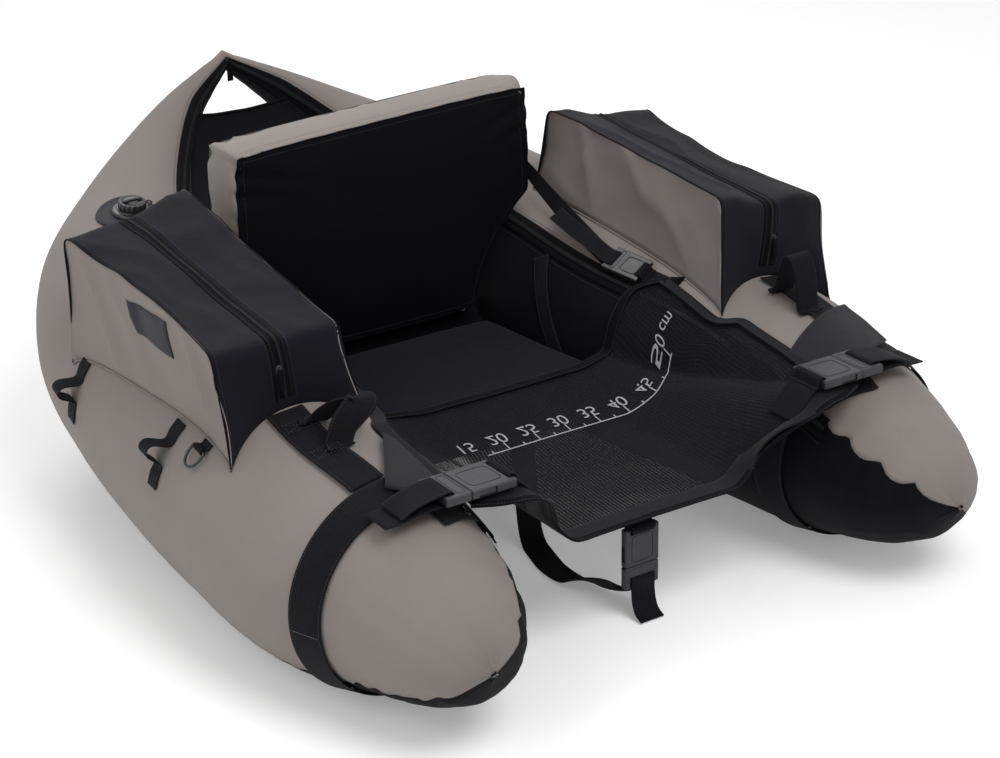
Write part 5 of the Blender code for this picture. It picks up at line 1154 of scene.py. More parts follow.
for arm, side in SIDES.items():
    sag, seed = BAG_SAGS[arm]
    wrap = bag_wrap(sag, seed)
    inner_side, outer_side = bag_side(wrap[:, 0], 0.0, seed), bag_side(wrap[:, -1], 1.0, seed)
    zip_rows = [row for row in np.arange(WRAP_REAR + 0.2, len(wrap) - 1, 0.5)
                if row < front_corner + 1 or across_grid(wrap, row, middle)[2] > BAG_ZIP_LOW]
    add_cloth(arm + "_bag_wrap", mirrored(wrap, side), navy, BAG_WALL, (0, 0, 1),
              slot="dark_fabric", stands_for=arm + "_bag")
    for name, grid, edge, way in (("inner", inner_side, wrap[:, 0], -1), ("outer", outer_side, wrap[:, -1], 1)):
        add_cloth(arm + "_bag_" + name, mirrored(grid, side), taupe, BAG_WALL, (way * side, 0, 0),
                  slot="taupe_fabric")
        add_round(arm + "_bag_piping_" + name, mirrored(edge, side), BAG_PIPING, black, slot="black_fabric")
        sew(mirrored(grid[1], side), (way * side, 0, 0.3), kind="pale")
        foot = grid[0] + np.array((way * 0.0004, 0, 0.0010))
        add_round(arm + "_bag_hem_" + name, mirrored(foot, side), BAG_HEM, taupe, slot="taupe_fabric")
    tape_grid = [wrap_line(wrap, zip_rows, share, lift) for share, lift in zip(BAG_TAPE_SHARES, BAG_TAPE_LIFTS)]
    add_cloth(arm + "_bag_tape", mirrored(np.array(tape_grid).transpose(1, 0, 2), side), tape, 0.0008, (0, 0, 1),
              slot="zip_tape", stands_for=arm + "_bag_zip")
    coil_lines = [mirrored(wrap_line(wrap, zip_rows, share, 0.0022), side)
                  for share in (-BAG_ZIP_COIL_AT, BAG_ZIP_COIL_AT)]
    add_rows(arm + "_bag_coil", [(line, np.array([(0, -0.6, 1.0)] * len(line))) for line in coil_lines],
             (0.0018, 0.0011, 0.0022, 0.0014), coil)
    for share in BAG_ZIP_STITCHES:
        lift = 0.0011 if abs(share) < 1 else 0.0002
        sew(mirrored(wrap_line(wrap, zip_rows, share, lift), side), (0, -0.5, 1))
    for column in (1.0, WRAP_COLUMNS - 2.0):
        line = [across_grid(wrap, row, column, 0.0003) for row in np.arange(1, len(wrap) - 1, 0.5)]
        sew(mirrored(line, side), (0, -0.4, 1))

    spot = np.array(((BAG_INNER + BAG_WIDTH / 2) * side, BAG_FRONT - 0.0049, SLIDER_AT))
    body = arm + "_bag_slider_body"
    rows = []
    for height, half_x, half_y in SLIDER_LEVELS:
        plan = [squircle(turn, 0.5) for turn in turns_round(SLIDER_SIDES)]
        rows.append([spot + (half_x * x, half_y * y, height) for x, y in plan])
    faces = grid_faces(len(rows), SLIDER_SIDES, True)
    last = (len(rows) - 1) * SLIDER_SIDES
    faces += [tuple(reversed(range(SLIDER_SIDES))), tuple(range(last, last + SLIDER_SIDES))]
    add_piece(arm + "_slider", np.array(rows).reshape(-1, 3), faces, coil, body=body, slot="black_plastic",
              stands_for=arm + "_bag_slider")
    eye = mirrored(SLIDER_EYE, side)
    loop = [eye + (0, 0.0010 - 0.0014 * math.sin(turn), 0.00416 * math.cos(turn)) for turn in turns_round(16)]
    add_round(arm + "_slider_bridge", loop, 0.0009, coil, closed=True, body=body)
    keys = [eye + (0, -0.0004, 0.001), eye + (0, -0.0018, -0.008), eye + (0, -0.0022, -0.026)]
    add_web(arm + "_pull_tab", keys, (1, 0, 0), BAG_PULL_WIDE, tape, 0.0018, 0.002, body=arm + "_bag_pull_body",
            slot="zip_tape", stands_for=arm + "_bag_pull")


# A plain woven patch is sewn on the near bag's outer side.
def side_place(y, z, lift):
    q = (BAG_REAR - y) / (BAG_REAR - BAG_FRONT)
    column = q * (outer_side.shape[1] - 1)
    heights = [across_grid(outer_side, row, column)[2] for row in range(outer_side.shape[0] - 1)]
    row = float(np.interp(z, heights, range(len(heights))))
    return across_grid(outer_side, row, column, 0.0) + (lift, 0, 0)


def four_corners(corners, rows, columns):
    """Rows of places between four corners that are given in their order round the outline."""
    first, second, third, fourth = (np.array(corner) for corner in corners)
    return [[(first * (1 - u) + second * u) * (1 - v) + (fourth * (1 - u) + third * u) * v
             for u in np.linspace(0, 1, columns)] for v in np.linspace(0, 1, rows)]


patch_rows = [[side_place(y, z, 0.0012) for y, z in row] for row in four_corners(PATCH_CORNERS, 9, 21)]
patch_rows = mirrored(patch_rows, -1)
add_cloth("right_bag_patch", patch_rows, patch_cloth, 0.0009, (-1, 0, 0), slot="dark_fabric")
border = np.concatenate([patch_rows[1, 1:-1], patch_rows[1:-1, -2],
                         patch_rows[-2, -2:0:-1], patch_rows[-2:0:-1, 1]])
sew(border, (-1, 0, 0))


# Webbing on the arms
# A wide webbing runs forward from the bag under a carrying handle; another goes right round the
# arm near its nose. Small D-rings and loops for a rod or a paddle are sewn on the outer side.
WIDE, MIDDLE, NARROW = 0.050, 0.038, 0.025
ARM_ANGLE, HANDLE_REAR, HANDLE_FRONT, HANDLE_THICK = 98.0, -0.252, -0.302, 0.0030
# Each handle's height and how far it leans inwards
HANDLES = {"left": (0.072, 0.010), "right": (0.03744, 0.046)}
ARM_WEB_REAR, ARM_WEB_FRONT, RING_Y, RING_JOIN = -0.204, -0.392, -0.418, 186


def sewn_box(corner, along, across, out, body="hull"):
    """The crossed box of stitches that holds a webbing's end."""
    a, b, c, d = corner, corner + along, corner + along + across, corner + across
    for start, end in ((a, b), (b, c), (c, d), (d, a), (a, c), (b, d)):
        sew([start + (end - start) * t for t in (0, 0.5, 1)], out, body)


for arm, side in SIDES.items():
    path = [(spine_from_y(y), ARM_ANGLE) for y in np.linspace(ARM_WEB_REAR, ARM_WEB_FRONT, 9)]
    hull_web(arm + "_arm_web", path, WIDE, side)
    middle_y, half = (HANDLE_REAR + HANDLE_FRONT) / 2, (HANDLE_REAR - HANDLE_FRONT) / 2
    out, rearward, across = hull_axes(spine_from_y(middle_y), ARM_ANGLE - 8, side)
    foot = hull_point(spine_from_y(middle_y), ARM_ANGLE - 8, 0.0052, side)
    tall, lean = HANDLES[arm]
    keys = [foot + rearward * half * 1.5, foot + rearward * half * 1.1]
    for turn in np.linspace(0.0, math.pi, 13)[1:-1]:
        rise = math.sin(turn) ** 0.55
        inward = -across * lean * rise ** 2
        keys.append(foot + rearward * half * math.cos(turn) * (1 - 0.45 * rise) + out * tall * rise + inward)
    keys += [foot - rearward * half * 1.1, foot - rearward * half * 1.5]
    add_web(arm + "_handle_web", keys, across, MIDDLE, thick=HANDLE_THICK, stands_for=arm + "_handle")
    for y in (HANDLE_REAR + 0.016, HANDLE_FRONT - 0.002):
        s = spine_from_y(y)
        out, rearward, around = hull_axes(s, ARM_ANGLE, side)
        corner = hull_point(s, ARM_ANGLE, 0.0066, side) - around * WIDE * 0.36
        sewn_box(corner, -rearward * 0.018, around * WIDE * 0.72, out)
    s = spine_from_y(RING_Y)
    path = [(s, angle) for angle in np.linspace(272, 272 - 362, 49)]
    hull_web(arm + "_ring_web", path, WIDE, side, stands_for=arm + "_ring_strap")
    foot = [hull_point(s + d, RING_JOIN, 0.0034, side) for d in np.linspace(-WIDE * 0.4, WIDE * 0.4, 9)]
    sew(foot, hull_axes(s, RING_JOIN, side)[0], kind="pale")


# D-rings
# A wire D swings in a folded webbing tab, whose upper ends are box-stitched to the arm.
D_PLACES = {"front": (-0.172, 137.0), "rear": (0.243, 133.0)}
D_HALF, D_DEPTH, D_WIRE, D_RISE, D_TAB, D_TAB_WIDE = 0.015, 0.026, 0.0020, 0.0070, 0.018, 0.022
TAB_TURNS = np.radians((140, 95, 50, 5, -40, -85, -130))

metal = Look("blackened_wire", (0.040, 0.040, 0.043), 0.30, {"Metallic": 0.7, "Specular IOR Level": 0.5})
metal.tint(metal.cloud(200.0, 3.0), 0.6, 1.5)
metal.bump(metal.cloud(1200.0), 0.00005)

for arm, side in SIDES.items():
    for end, (y, angle) in D_PLACES.items():
        s = spine_from_y(y)
        outward, rearward, around = hull_axes(s, angle, side)
        centre = hull_point(s, angle, 0, side) + outward * D_RISE
        reach = D_WIRE + 0.0006 + WEBBING_THICK * 0.375
        keys = [hull_point(s, angle - math.degrees(share * D_TAB / spine_at(s)[3]), 0.0017, side)
                for share in (1.0, 0.6, 0.3)]
        keys += [centre + (around * math.cos(turn) + outward * math.sin(turn)) * reach for turn in TAB_TURNS]
        add_web(arm + "_" + end + "_tab", keys, rearward, D_TAB_WIDE, thick=WEBBING_THICK * 0.75, step=0.002,
                stands_for=arm + "_" + end + "_d_tab")
        corner = keys[0] + outward * 0.0010 - rearward * 0.0085
        sewn_box(corner, unit(keys[2] - keys[0]) * 0.0095, rearward * 0.017, outward)
        outline = [(D_HALF * share, 0.0) for share in (-0.98, -0.5, 0.0, 0.5, 0.98)]
        for turn in np.radians(np.linspace(4, 176, 19)):
            outline.append((D_HALF * math.cos(turn), D_DEPTH * (0.2 + 0.8 * math.sin(turn) ** 0.8)))
        wire = [centre + rearward * x + around * d for x, d in outline]
        add_round(arm + "_" + end + "_ring", wire, D_WIRE, metal, closed=True, sides=12,
                  body=arm + "_" + end + "_d_ring_body",
                  stands_for=arm + "_" + end + "_d_ring")


# Rod loops
# A narrow webbing leaves the bag's edge and stands off the arm in one open loop.
ROD_PLACES = {"front": -0.108, "rear": 0.182}
ROD_TURN, ROD_RISE, ROD_SPREAD, ROD_LIFT = 32.0, 0.028, 5.0, 0.0020

for arm, side in SIDES.items():
    for end, y in ROD_PLACES.items():
        s = spine_from_y(y)
        row = spine_at(s)
        edge_x = BAG_INNER + BAG_WIDTH - BAG_OUTER_LEAN
        start = 90 + math.degrees(math.asin((edge_x - row[0]) / row[3])) + ROD_SPREAD / 2
        half_way = start + ROD_TURN / 2
        spots = [(angle, ROD_LIFT) for angle in np.linspace(start, half_way - ROD_SPREAD, 3)]
        for share in (0.25, 0.5, 0.75):
            rise = ROD_RISE * math.sin(math.pi * share) ** 0.6
            spots.append((half_way + ROD_SPREAD * (2 * share - 1), ROD_LIFT + rise))
        spots += [(angle, ROD_LIFT) for angle in np.linspace(half_way + ROD_SPREAD, start + ROD_TURN, 3)]
        keys = [hull_point(s, angle, lift, side) for angle, lift in spots]
        outward, rearward, around = hull_axes(s, half_way, side)
        add_web(arm + "_" + end + "_rod_web", keys, rearward, NARROW, step=0.003,
                stands_for=arm + "_" + end + "_rod_strap")
        for angle in (start + 1.0, start + ROD_TURN - 5.5):
            out, _, round_arm = hull_axes(s, angle, side)
            corner = hull_point(s, angle, 0.0032, side) - rearward * NARROW * 0.36
            sewn_box(corner, round_arm * 0.011, rearward * NARROW * 0.72, out)


# Buckles
# Side-release buckles of satin plastic join the strapping. The sockets and clips are the model's
# own; each gets raised thumb ribs on its prongs and a moulded rim on its face.
SOCKET_EXTRA, CLIP_EXTRA, BAR, SLOT, MARGIN, RIM = 0.024, 0.016, 0.0035, 0.0050, 0.008, 0.0008
BUCKLE_THICK = {WIDE: 0.012, MIDDLE: 0.011, NARROW: 0.009}

# A lighter copy of the black buckle plastic, with the grey sheen of black plastic painted into its colour; it
# dresses the front and crotch buckles and every rim and rib.
sheen_painted_plastic = Look("sheen_painted_plastic", (0.017, 0.017, 0.020), 0.38, {"Specular IOR Level": 0.4})
sheen_painted_plastic.tint(sheen_painted_plastic.cloud(30.0, 3.0), 0.75, 1.3)
sheen_painted_plastic.set(sheen_painted_plastic.shader, "Roughness", sheen_painted_plastic.cloud(120.0, 3.0) * 0.2 + 0.32)
sheen_painted_plastic.bump(sheen_painted_plastic.cloud(1600.0), 0.00007)


def buckle_lengths(width):
    return width * 4 / 5 + SOCKET_EXTRA, width * 2 / 5 + CLIP_EXTRA


def socket_thread(width, origin, pull, normal):
    length, _ = buckle_lengths(width)
    low = -(BUCKLE_THICK[width] / 2 + 0.0003 + WEBBING_THICK / 2)
    slot, outer, over = -length + BAR + SLOT / 2, -length - BAR, low + WEBBING_THICK + 0.0003
    path = [(outer - BAR * 2, low), (slot, low), (slot, -low), (-length - BAR / 2, -low),
            (outer - BAR / 2, over), (outer - BAR * 2, over)]
    return [origin + pull * x + normal * z for x, z in path]


def clip_thread(width, origin, pull, normal):
    _, length = buckle_lengths(width)
    offset = BUCKLE_THICK[width] / 2 + 0.0003 + WEBBING_THICK / 2
    slot = length - BAR * 2 - SLOT * 1.5
    path = [(length + BAR, -offset), (slot, -offset), (slot, offset), (length + BAR, offset)]
    return [origin + pull * x + normal * z for x, z in path]


def trim_buckle(name, width, origin, pull, normal, clip_body):
    """Thumb ribs on the socket's windows and a shallow rim on its face and on the clip's."""
    length, clip = buckle_lengths(width)
    across, half = np.cross(normal, pull), width / 2 + MARGIN
    top = BUCKLE_THICK[width] / 2

    def rim_line(centre, half_x, half_y):
        plan = [squircle(turn, 0.3) for turn in turns_round(32)]
        return [origin + pull * (centre + half_x * x) + across * half_y * y + normal * top for x, y in plan]

    # The rims and ribs take the lighter plastic with its painted sheen, so on the darker backrest buckles they
    # are painted highlights on the raised edges.
    add_round(name + "_face_rim", rim_line(-length * 0.46, length * 0.34, half * 0.62), RIM, sheen_painted_plastic,
              closed=True)
    add_round(name + "_clip_rim", rim_line(clip * 0.28, clip * 0.16, half * 0.80), RIM * 7 / 8, sheen_painted_plastic,
              closed=True, body=clip_body)
    for sign in (-1, 1):
        for step in range(4):
            x = -length * (0.24 + 0.075 * step)
            rib = [origin + pull * x + across * sign * (half - 0.0030) + normal * top * share
                   for share in (-0.45, 0, 0.45)]
            add_round(name + "_rib_" + ("a" if sign > 0 else "b") + str(step), rib, RIM * 7 / 8, sheen_painted_plastic,
                      body=clip_body)


# Backrest straps
# Narrow webbing sewn to the backrest's gusset runs down to a buckle on each arm's zip, whose
# socket hangs on a short tab; the loose end leans back beside it.
BACK_SEWN, BACK_SEWN_RUN, BACK_SAG = (0.2635, 0.222, 0.392), 0.020, 0.004
BACK_TAIL, BACK_TAIL_OUT, BACK_TAIL_LEAN = 0.120, 0.024, 0.006
ANCHOR_ANGLE, ANCHOR_END, ANCHOR_START, WEDGE_END = 58.5, -0.112, -0.100, -0.130
# The buckle's place, the ways its webbing is pulled and it faces, and the way across it
BACK_ORIGIN, BACK_PULL = (0.258406, -0.045759, 0.315081), (-0.132369, 0.989838, 0.05195)
BACK_OUT, BACK_AROUND = (-0.512563, -0.113215, 0.851153), (0.848603, 0.0844, 0.522254)


def dress(look, *names):
    """Gives CAD nodes that stay in view a finish of their own."""
    for name in names:
        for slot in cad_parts[name].material_slots:
            slot.material = look.material


def wedge_line(middle, across, width):
    return [middle + across * share * width for share in np.linspace(-1, 1, 9)]


for arm, side in SIDES.items():
    origin, pull, out, around = (mirrored(v, side) for v in (BACK_ORIGIN, BACK_PULL, BACK_OUT, BACK_AROUND))
    clip_body = arm + "_backrest_clip_body"
    dress(plastic, arm + "_backrest_buckle", arm + "_backrest_clip")
    trim_buckle(arm + "_back", NARROW, origin, pull, out, clip_body)
    sewn = mirrored(BACK_SEWN, side)
    near = sewn - (0, BACK_SEWN_RUN, 0)
    thread_path = clip_thread(NARROW, origin, pull, out)
    run = [sewn, near]
    for share in (0.75, 0.5, 0.25):
        sag = (0, 0, -BACK_SAG * math.sin(math.pi * share))
        run.append(thread_path[0] + (near - thread_path[0]) * share + sag)
    run.append(thread_path[0] + pull * 0.002)
    upright = np.array((0, 0, 1.0))
    across = [unit(upright * share + around * (1 - share)) for share in (1, 1, 0.75, 0.5, 0.25, 0)]
    strap, _ = add_web(arm + "_back_run", run, across, NARROW, sewn=False, body=None,
                       stands_for=arm + "_backrest_strap")
    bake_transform(strap)
    keys = [thread_path[0] + pull * 0.004] + thread_path
    for share in (0.3, 0.65, 1.0):
        lean = out * BACK_TAIL_LEAN * (1 + share) + np.array((0, 0, BACK_TAIL * share * share / 6))
        lean = lean - around * 0.010 * share * share
        keys.append(thread_path[-1] + pull * BACK_TAIL * share + lean + (side * BACK_TAIL_OUT * share, 0, 0))
    add_web(arm + "_back_loop", keys, around, NARROW, body=clip_body, step=0.002)
    corner = sewn + (side * 0.0016, -0.016, -0.0095)
    sewn_box(corner, np.array((0, 0.014, 0)), np.array((0, 0, 0.019)), (side, 0, 0), "backrest")
    ends = [hull_point(spine_from_y(y), ANCHOR_ANGLE, 0.0020, side) for y in (ANCHOR_END, ANCHOR_START)]
    add_web(arm + "_back_anchor", ends + socket_thread(NARROW, origin, pull, out), around, NARROW, step=0.002,
            stands_for=arm + "_backrest_anchor")
    low = hull_point(spine_from_y(ANCHOR_END), ANCHOR_ANGLE, 0.0036, side)
    high = hull_point(spine_from_y(WEDGE_END), ANCHOR_ANGLE, 0.0012, side)
    wedge = [wedge_line(low, around, NARROW * 0.5), wedge_line(low * 0.5 + high * 0.5, around, NARROW * 0.72),
             wedge_line(high, around, NARROW)]
    add_cloth(arm + "_back_wedge", wedge, tape, 0.0016, out, slot="black_webbing")
    corner = low - around * NARROW * 0.36 - pull * 0.002 + out * 0.0005
    sewn_box(corner, pull * 0.013, around * NARROW * 0.72, out)


# Apron
# A trough of knitted mesh spans the arms before the user, bound in cloth, with a printed ruler in
# centimetres. Its corners end in cloth flaps over the arms, under the front buckles.
APRON_REAR, APRON_WING_REAR, APRON_OUTER_REAR, APRON_FRONT = -0.112, -0.084, -0.129, -0.465
APRON_REAR_HIGH, APRON_FRONT_HIGH, APRON_RISE, APRON_LIFT = 0.209, 0.158, 0.112, 0.0062
WING_START, WING_END, APRON_OUTER = 0.120, 0.235, 0.279
APRON_REACH, APRON_FRONT_REACH, APRON_NARROWING, APRON_WRINKLE = 0.745, 0.800, 0.40, 0.0016
# How far the front edge stands forward of APRON_FRONT, in shares of EDGE_DEPTH, by place across
EDGE_SHARES = ((0.0, 0.0), (0.45, 0.03), (0.575, 1.0), (0.70, 0.85), (0.98, -0.10), (1.15, -0.40))
EDGE_DEPTH, SHEET_ROWS, SHEET_COLUMNS, FLAP_ROWS, FLAP_COLUMNS = 0.060, 72, 121, 21, 29
MESH_PITCH, MESH_COURSE, MESH_OPEN, MESH_CLEAR = 0.0052, 0.0026, 0.25, 0.9
# Plan of each flap: its inner and outer rear corners, then its outer and inner front ones
FLAP_CORNERS = {"left": ((0.290, -0.372), (0.438, -0.318), (0.432, -0.412), (0.300, -0.478)),
                "right": ((0.252, -0.322), (0.306, -0.306), (0.376, -0.424), (0.290, -0.478))}

mesh_look = Look("knitted_mesh", (0.0080, 0.0078, 0.0098), 0.72,
                 {"Specular IOR Level": 0.08, "Sheen Weight": 0.04})
over, along = mesh_look.run()
slots = over.wave(MESH_PITCH) * 0.5 + along.wave(MESH_COURSE)
mesh_look.set(mesh_look.shader, "Alpha", 1 - (slots > MESH_OPEN) * MESH_CLEAR)
mesh_look.tint(mesh_look.cloud(24.0, 3.0), 0.6, 1.5)
mesh_look.bump(slots, 0.0003)
band = coated_cloth("band_cloth", (0.0085, 0.0082, 0.0102), 0.74, 0.08, 0.06, 0.18, 0.0014, 0.0015)
flap_cloth = coated_cloth("flap_cloth", (0.0140, 0.0130, 0.0175), 0.66, 0.12, 0.06, 0.14, 0.0014)


def apron_height(x, y, lift=0.0):
    share = min(max((APRON_REAR - y) / (APRON_REAR - APRON_FRONT), 0.0), 1.0)
    middle = APRON_FRONT_HIGH + (APRON_REAR_HIGH - APRON_FRONT_HIGH) * (1 - share) ** 2
    wing = APRON_RISE * share * float(ramp(abs(x), WING_START, WING_END))
    wrinkle = APRON_WRINKLE * drift((abs(x) * 5 + y * 9, y * 4 + x, 1), 1.6, 21.0)
    wrinkle *= 1 - float(ramp(abs(x), 0.16, 0.22))
    return max(middle + wing + wrinkle + lift, hull_height(x, y, APRON_LIFT + lift))


def apron_rear(x):
    corner = max(min(x, APRON_OUTER) - WING_END, 0) / (APRON_OUTER - WING_END)
    return (APRON_REAR + (APRON_WING_REAR - APRON_REAR) * float(ramp(x, WING_START, WING_END))
            + (APRON_OUTER_REAR - APRON_WING_REAR) * corner ** 1.5)


def apron_point(share, column, lift=0.0):
    """A place on the apron: share from rear to front, and column as a share of the arms' spread."""
    side = -1 if column < 0 else 1
    progress = float(ramp(share, 0.74, 1.0))
    x = (abs(column) - max(abs(column) - 0.90, 0) * APRON_NARROWING * progress) * ARM_SPREAD
    front = APRON_FRONT - EDGE_DEPTH * np.interp(x / ARM_SPREAD, *zip(*EDGE_SHARES))
    y = apron_rear(x) + (front - apron_rear(x)) * share + 0.030 * float(ramp(x, 0.330, 0.430)) * (1 - progress)
    return np.array((side * x, y, apron_height(x, y, lift)))


def apron_reach(share):
    """The apron's half width as a share of the arms' spread, by share from rear to front."""
    return APRON_REACH + (APRON_FRONT_REACH - APRON_REACH) * float(ramp(share, 0.28, 0.40))


def cloth_area(rows):
    rows = np.array(rows)
    return round(float(sum(np.linalg.norm(np.cross(b - a, c - a)) for row, after in zip(rows, rows[1:])
                           for a, b, c in zip(row, row[1:], after))), 4)


sheet_rows = [[apron_point(share, u * apron_reach(share)) for u in np.linspace(-1, 1, SHEET_COLUMNS)]
              for share in np.linspace(0, 1, SHEET_ROWS)]
apron = add_cloth("apron_mesh", sheet_rows, mesh_look, 0.0010, (0, 0, 1), slot="apron_mesh", stands_for="apron")
cloth_area(sheet_rows)


def add_binding(name, line, width, look, lift):
    """A folded cloth binding along places (share, column) of the apron."""
    points = np.array([apron_point(share, column, lift) for share, column in line])
    runs = np.gradient(points, axis=0)
    across = []
    for (share, column), run in zip(line, runs):
        out = np.array((0, 0, 1.0))
        if abs(column) * ARM_SPREAD > 0.2:
            near = hull_axes(spine_from_y(float(apron_point(share, column)[1])), 90, np.sign(column))[0]
            out = unit(out + near)
        across.append(np.cross(run, out))
    add_web(name, points, across, width, look, thick=0.0028, step=0.006, slot="apron_mesh")


for name, share, reach, width, look, lift in (("front_band", 0.955, 0.79, 0.036, band, 0.0012),
                                              ("front_hem", 0.995, 0.80, 0.010, tape, 0.0016),
                                              ("rear_hem", 0.012, 0.735, 0.016, tape, 0.0012)):
    add_binding("apron_" + name, [(share, u) for u in np.linspace(-reach, reach, 41)], width, look, lift)
for arm, side in SIDES.items():
    line = [(share, side * (apron_reach(share) - 0.018)) for share in np.linspace(0.02, 0.98, 33)]
    add_binding("apron_side_hem_" + arm, line, 0.018, band, 0.0016)
    flap_rows = []
    plan = four_corners(FLAP_CORNERS[arm], FLAP_ROWS, FLAP_COLUMNS)
    for v, places in zip(np.linspace(0, 1, FLAP_ROWS), plan):
        row = []
        for u, (x, y) in zip(np.linspace(0, 1, FLAP_COLUMNS), places):
            x, curl = x * side, 0.004 * (u ** 6) + 0.0012 * drift((u * 2, v * 2, side), 1.5, 31.0)
            row.append(np.array((x, y, max(apron_height(x, y, 0.0026), hull_height(x, y, 0.0046)) + curl)))
        flap_rows.append(row)
    flap = add_cloth(arm + "_flap", flap_rows, flap_cloth, 0.0012, (0, 0, 1), slot="apron_mesh")
    cloth_area(flap_rows)
    hem = flap_rows[1] + [row[-2] for row in flap_rows[2:-1]] + flap_rows[-2][::-1]
    sew([spot + (0, 0, 0.0004) for spot in hem], (0, 0, 1))


# Ruler
# Its print is seen from the back of the mesh, so the digits are mirrored: a line, short and long
# ticks and the numbers, laid along the trough and up the far arm.
RULER_Y, SECTION_ENDS, TWENTY_AT, RULER_FROM, RULER_TO = -0.232, (-0.17, 0.268), -0.067, 16.5, 50.5
TICKS, TICK_STEP, LONG_EVERY, LONG_TICK, SHORT_TICK = (17.5, 50.0), 2.5, 5, 0.0165, 0.0065
LINE_HALF, TICK_HALF = 0.0011, 0.10
DIGITS, DIGIT_SIZE, UNIT_AT, UNIT_SIZE, DIGITS_BACK = range(15, 51, 5), 0.0300, 53.4, 0.0260, 0.0370

ink = Look("grey_ink", (0.36, 0.36, 0.37), 0.75, {"Specular IOR Level": 0.2})
ink.tint(ink.cloud(420.0), 0.55, 1.25)
ink.bump(ink.cloud(800.0), 0.0001)
section = [np.array((x, RULER_Y, apron_height(x, RULER_Y))) for x in np.linspace(*SECTION_ENDS, 220)]
section_run = np.concatenate([[0], np.cumsum([np.linalg.norm(b - a) for a, b in zip(section, section[1:])])])
twenty = float(np.interp(TWENTY_AT, [p[0] for p in section], section_run))


def ruler_place(centimetres, back, lift=0.0012):
    """A place on the apron at a mark, some way behind the line."""
    run = twenty + (centimetres - 20.0) * 0.01
    x = float(np.interp(run, section_run, [p[0] for p in section]))
    climb = float(ramp(x, 0.17, 0.24))
    y = RULER_Y + 0.030 * climb + back
    ahead, here = apron_height(x + 0.002, y), apron_height(x, y)
    normal = unit((here - ahead, 0, 0.002))
    return np.array((x, y, here)) + normal * lift


ink_verts, ink_faces = [], []


def keep_ink(rows):
    start = len(ink_verts)
    for row in rows:
        ink_verts.extend(row)
    ink_faces.extend(grid_faces(len(rows), len(rows[0]), False, start))


keep_ink([[ruler_place(mark, -LINE_HALF), ruler_place(mark, LINE_HALF)]
          for mark in np.linspace(RULER_FROM, RULER_TO, 140)])
for mark in np.arange(TICKS[0], TICKS[1] + 0.1, TICK_STEP):
    depth = LONG_TICK if mark % LONG_EVERY < 0.01 else SHORT_TICK
    keep_ink([[ruler_place(mark - TICK_HALF, back), ruler_place(mark + TICK_HALF, back)]
              for back in np.linspace(0.0, depth, 5)])


def keep_text(words, mark, size):
    """Digits as flat shapes, mirrored front to back, centred on a mark behind its tick."""
    curve = bpy.data.curves.new("digits", "FONT")
    curve.body = words
    curve.size = size
    curve.align_x = "CENTER"
    source = bpy.data.objects.new("digits", curve)
    scene.collection.objects.link(source)
    bpy.context.view_layer.update()
    flat = plain_mesh(source)
    start = len(ink_verts)
    for vert in flat.vertices:
        ink_verts.append(ruler_place(mark + vert.co.x * 100, DIGITS_BACK - vert.co.y))
    for polygon in flat.polygons:
        ink_faces.append(tuple(start + vert for vert in polygon.vertices))


for mark in DIGITS:
    keep_text(str(mark), mark - 0.3, DIGIT_SIZE)
keep_text("cm", UNIT_AT, UNIT_SIZE)
add_piece("ruler_print", ink_verts, ink_faces, ink, slot="apron_mesh")


# Front buckles and cross straps
# A wide buckle over each corner of the apron pulls it to the arm: its socket hangs on a webbing
# from the apron, and the cross strap from the arm's outer side threads its clip.
FRONT_ORIGIN, CROSS_END, CROSS_TAIL = (0.305, -0.4705, 0.286814), 0.420, 0.398
CROSS_LIFT, TAB_RUN = 0.0024, 0.034
# The eyelet tab's corners as places along an arm and round it, and its eyelet
EYELET_CORNERS = ((-0.446, 62), (-0.448, 84), (-0.489, 80), (-0.466, 46))
EYELET_AT, EYELET_RADIUS, EYELET_WIRE, TAB_LIFT = (-0.462, 56), 0.0050, 0.0015, 0.0042


def stack_top(x, y):
    places = [y + WIDE * share for share in (-0.5, -0.25, 0.0, 0.25, 0.5)]
    return max(max(apron_height(x, there, 0.0014), hull_height(x, there, 0.0032)) for there in places)


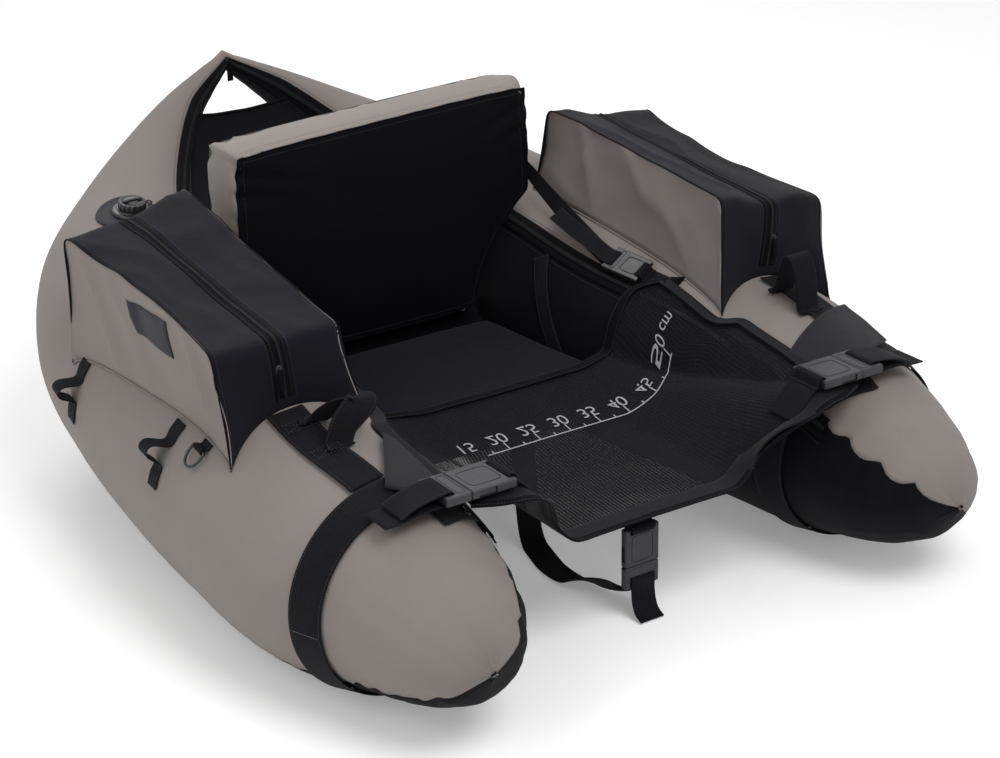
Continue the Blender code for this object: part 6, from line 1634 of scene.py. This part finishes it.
for arm, side in SIDES.items():
    origin = mirrored(FRONT_ORIGIN, side)
    pull, out, across = np.array((side, 0, 0)), np.array((0, 0, 1.0)), np.array((0, 1.0, 0))
    clip_body = arm + "_front_clip_body"
    # The front buckles take the lighter plastic, with its sheen painted in.
    dress(sheen_painted_plastic, arm + "_front_buckle", arm + "_front_clip")
    trim_buckle(arm + "_front", WIDE, origin, pull, out, clip_body)
    thread_path = clip_thread(WIDE, origin, pull, out)
    inner = abs(thread_path[0][0]) + BAR * 2
    y = FRONT_ORIGIN[1]
    keys = [(x * side, y, stack_top(x, y) + CROSS_LIFT) for x in np.linspace(CROSS_END, inner, 4)]
    add_web(arm + "_cross_run", keys + [tuple(thread_path[0] + pull * 0.002)], across, WIDE,
            stands_for=arm + "_cross_strap")
    high = thread_path[-1][2] - keys[-1][2]
    tail = [tuple(thread_path[0] + pull * 0.003)] + [tuple(point) for point in thread_path]
    for share in (0.5, 1.0):
        x = inner + (CROSS_TAIL - inner) * share
        tail.append((x * side, y, stack_top(x, y) + CROSS_LIFT + high * (1 - share) + 0.0045 * share))
    add_web(arm + "_cross_loop", tail, across, WIDE, step=0.003, body=clip_body)
    loop = socket_thread(WIDE, origin, pull, out)
    start = loop[0] - pull * TAB_RUN
    start[2] = apron_height(start[0], y) + 0.0030
    add_web(arm + "_front_tab", [start] + loop, across, WIDE, step=0.003)
    corner = start + pull * 0.003 - across * WIDE * 0.38 + out * 0.0014
    sewn_box(corner, pull * 0.016, across * WIDE * 0.76, out)
    corners = [hull_point(spine_from_y(y), angle, TAB_LIFT, side) for y, angle in EYELET_CORNERS]
    eyelet = [[(x, y, max(z, hull_height(x, y, TAB_LIFT))) for x, y, z in row]
              for row in four_corners(corners, 9, 9)]
    add_cloth(arm + "_eyelet_tab", eyelet, band, 0.0014, (0, 0, 1), slot="black_webbing")
    s, angle = spine_from_y(EYELET_AT[0]), EYELET_AT[1]
    _, rearward, around = hull_axes(s, angle, side)
    centre = hull_point(s, angle, 0.0050, side)
    ring = [centre + (rearward * math.cos(turn) + around * math.sin(turn)) * EYELET_RADIUS
            for turn in turns_round(20)]
    add_round(arm + "_eyelet", ring, EYELET_WIRE, metal, closed=True)


# Crotch strap
# A webbing from the sling's front runs along the ground between the user's feet and rises to a
# buckle that hangs under the apron's front edge.
CROTCH_ORIGIN = np.array((0, -0.428, 0.074))
# Share of the way forward, share of the height left, and degrees that the webbing is turned up
CROTCH_SHARES = ((0.02, 0.92, 0), (0.04, 0.64, 0), (0.06, 0.36, 0), (0.09, 0.13, 0), (0.14, 0.02, 0),
                 (0.22, 0.0, 0), (0.40, 0.0, 0), (0.56, 0.01, -4), (0.65, 0.06, -24), (0.75, 0.09, -42),
                 (0.86, 0.13, -40), (0.95, 0.17, -12))
CROTCH_DRIFT, CROTCH_TAIL, ON_GROUND = 0.024, ((0.06, 0.55), (0.22, 0.2), (0.55, 0.0)), 0.0030

pull, out, across = np.array((0, 0, -1.0)), np.array((0, -1.0, 0)), np.array((1.0, 0, 0))
# The crotch buckle takes the lighter plastic, with its sheen painted in.
dress(sheen_painted_plastic, "crotch_buckle", "crotch_clip")
trim_buckle("crotch", MIDDLE, CROTCH_ORIGIN, pull, out, "crotch_clip_body")
thread_path = clip_thread(MIDDLE, CROTCH_ORIGIN, pull, out)
high = SEAT_TOP - SEAT_THICK - 0.0036
keys, tilts = [(0, SLING_FRONT + 0.022, high), (0, SLING_FRONT, high)], [0, 0]
for share, left_high, tilt in CROTCH_SHARES:
    y = SLING_FRONT + (thread_path[0][1] - SLING_FRONT) * share
    keys.append((-CROTCH_DRIFT * math.sin(math.pi * share) ** 2, y, ON_GROUND + (high - ON_GROUND) * left_high))
    tilts.append(tilt)
keys.append(tuple(thread_path[0] + pull * 0.002))
turns = [(math.cos(a), 0.0, math.sin(a)) for a in np.radians(tilts + [0])]
add_web("crotch_run", keys, turns, MIDDLE, stands_for="crotch_strap")
tail, end = [thread_path[0] + pull * 0.003] + thread_path, thread_path[-1]
for forward, left_high in CROTCH_TAIL:
    tail.append(np.array((0, end[1] - MIDDLE * forward, ON_GROUND + (end[2] - ON_GROUND) * left_high)))
add_web("crotch_loop", tail, across, MIDDLE, step=0.002, body="crotch_clip_body")
loop = socket_thread(MIDDLE, CROTCH_ORIGIN, pull, out)
under, y = apron_height(0, CROTCH_ORIGIN[1]) - 0.0014, loop[0][1]
tab = [(0, y - 0.018, under - 0.001), (0, y - WEBBING_THICK * 2, under - 0.001)]
tab.append((0, y, under - WEBBING_THICK * 3))
add_web("crotch_tab", tab + [tuple(point) for point in loop], across, MIDDLE, step=0.002)


# Stitching
# The lines kept above are sewn here with one row of stitches to a body and a thread colour, and
# two rows where a body has many lines.
MANY_LINES, STITCH = 40, (0.0042, 0.0030, 0.0008, 0.0007)

for (body, kind), lines in SEWN.items():
    parts = {"": lines} if len(lines) < MANY_LINES else {"": lines[::2], "_more": lines[1::2]}
    for ending, some in parts.items():
        add_rows("stitches_" + body + "_" + kind + ending, some, STITCH,
                 thread if kind == "dark" else pale_thread, body)
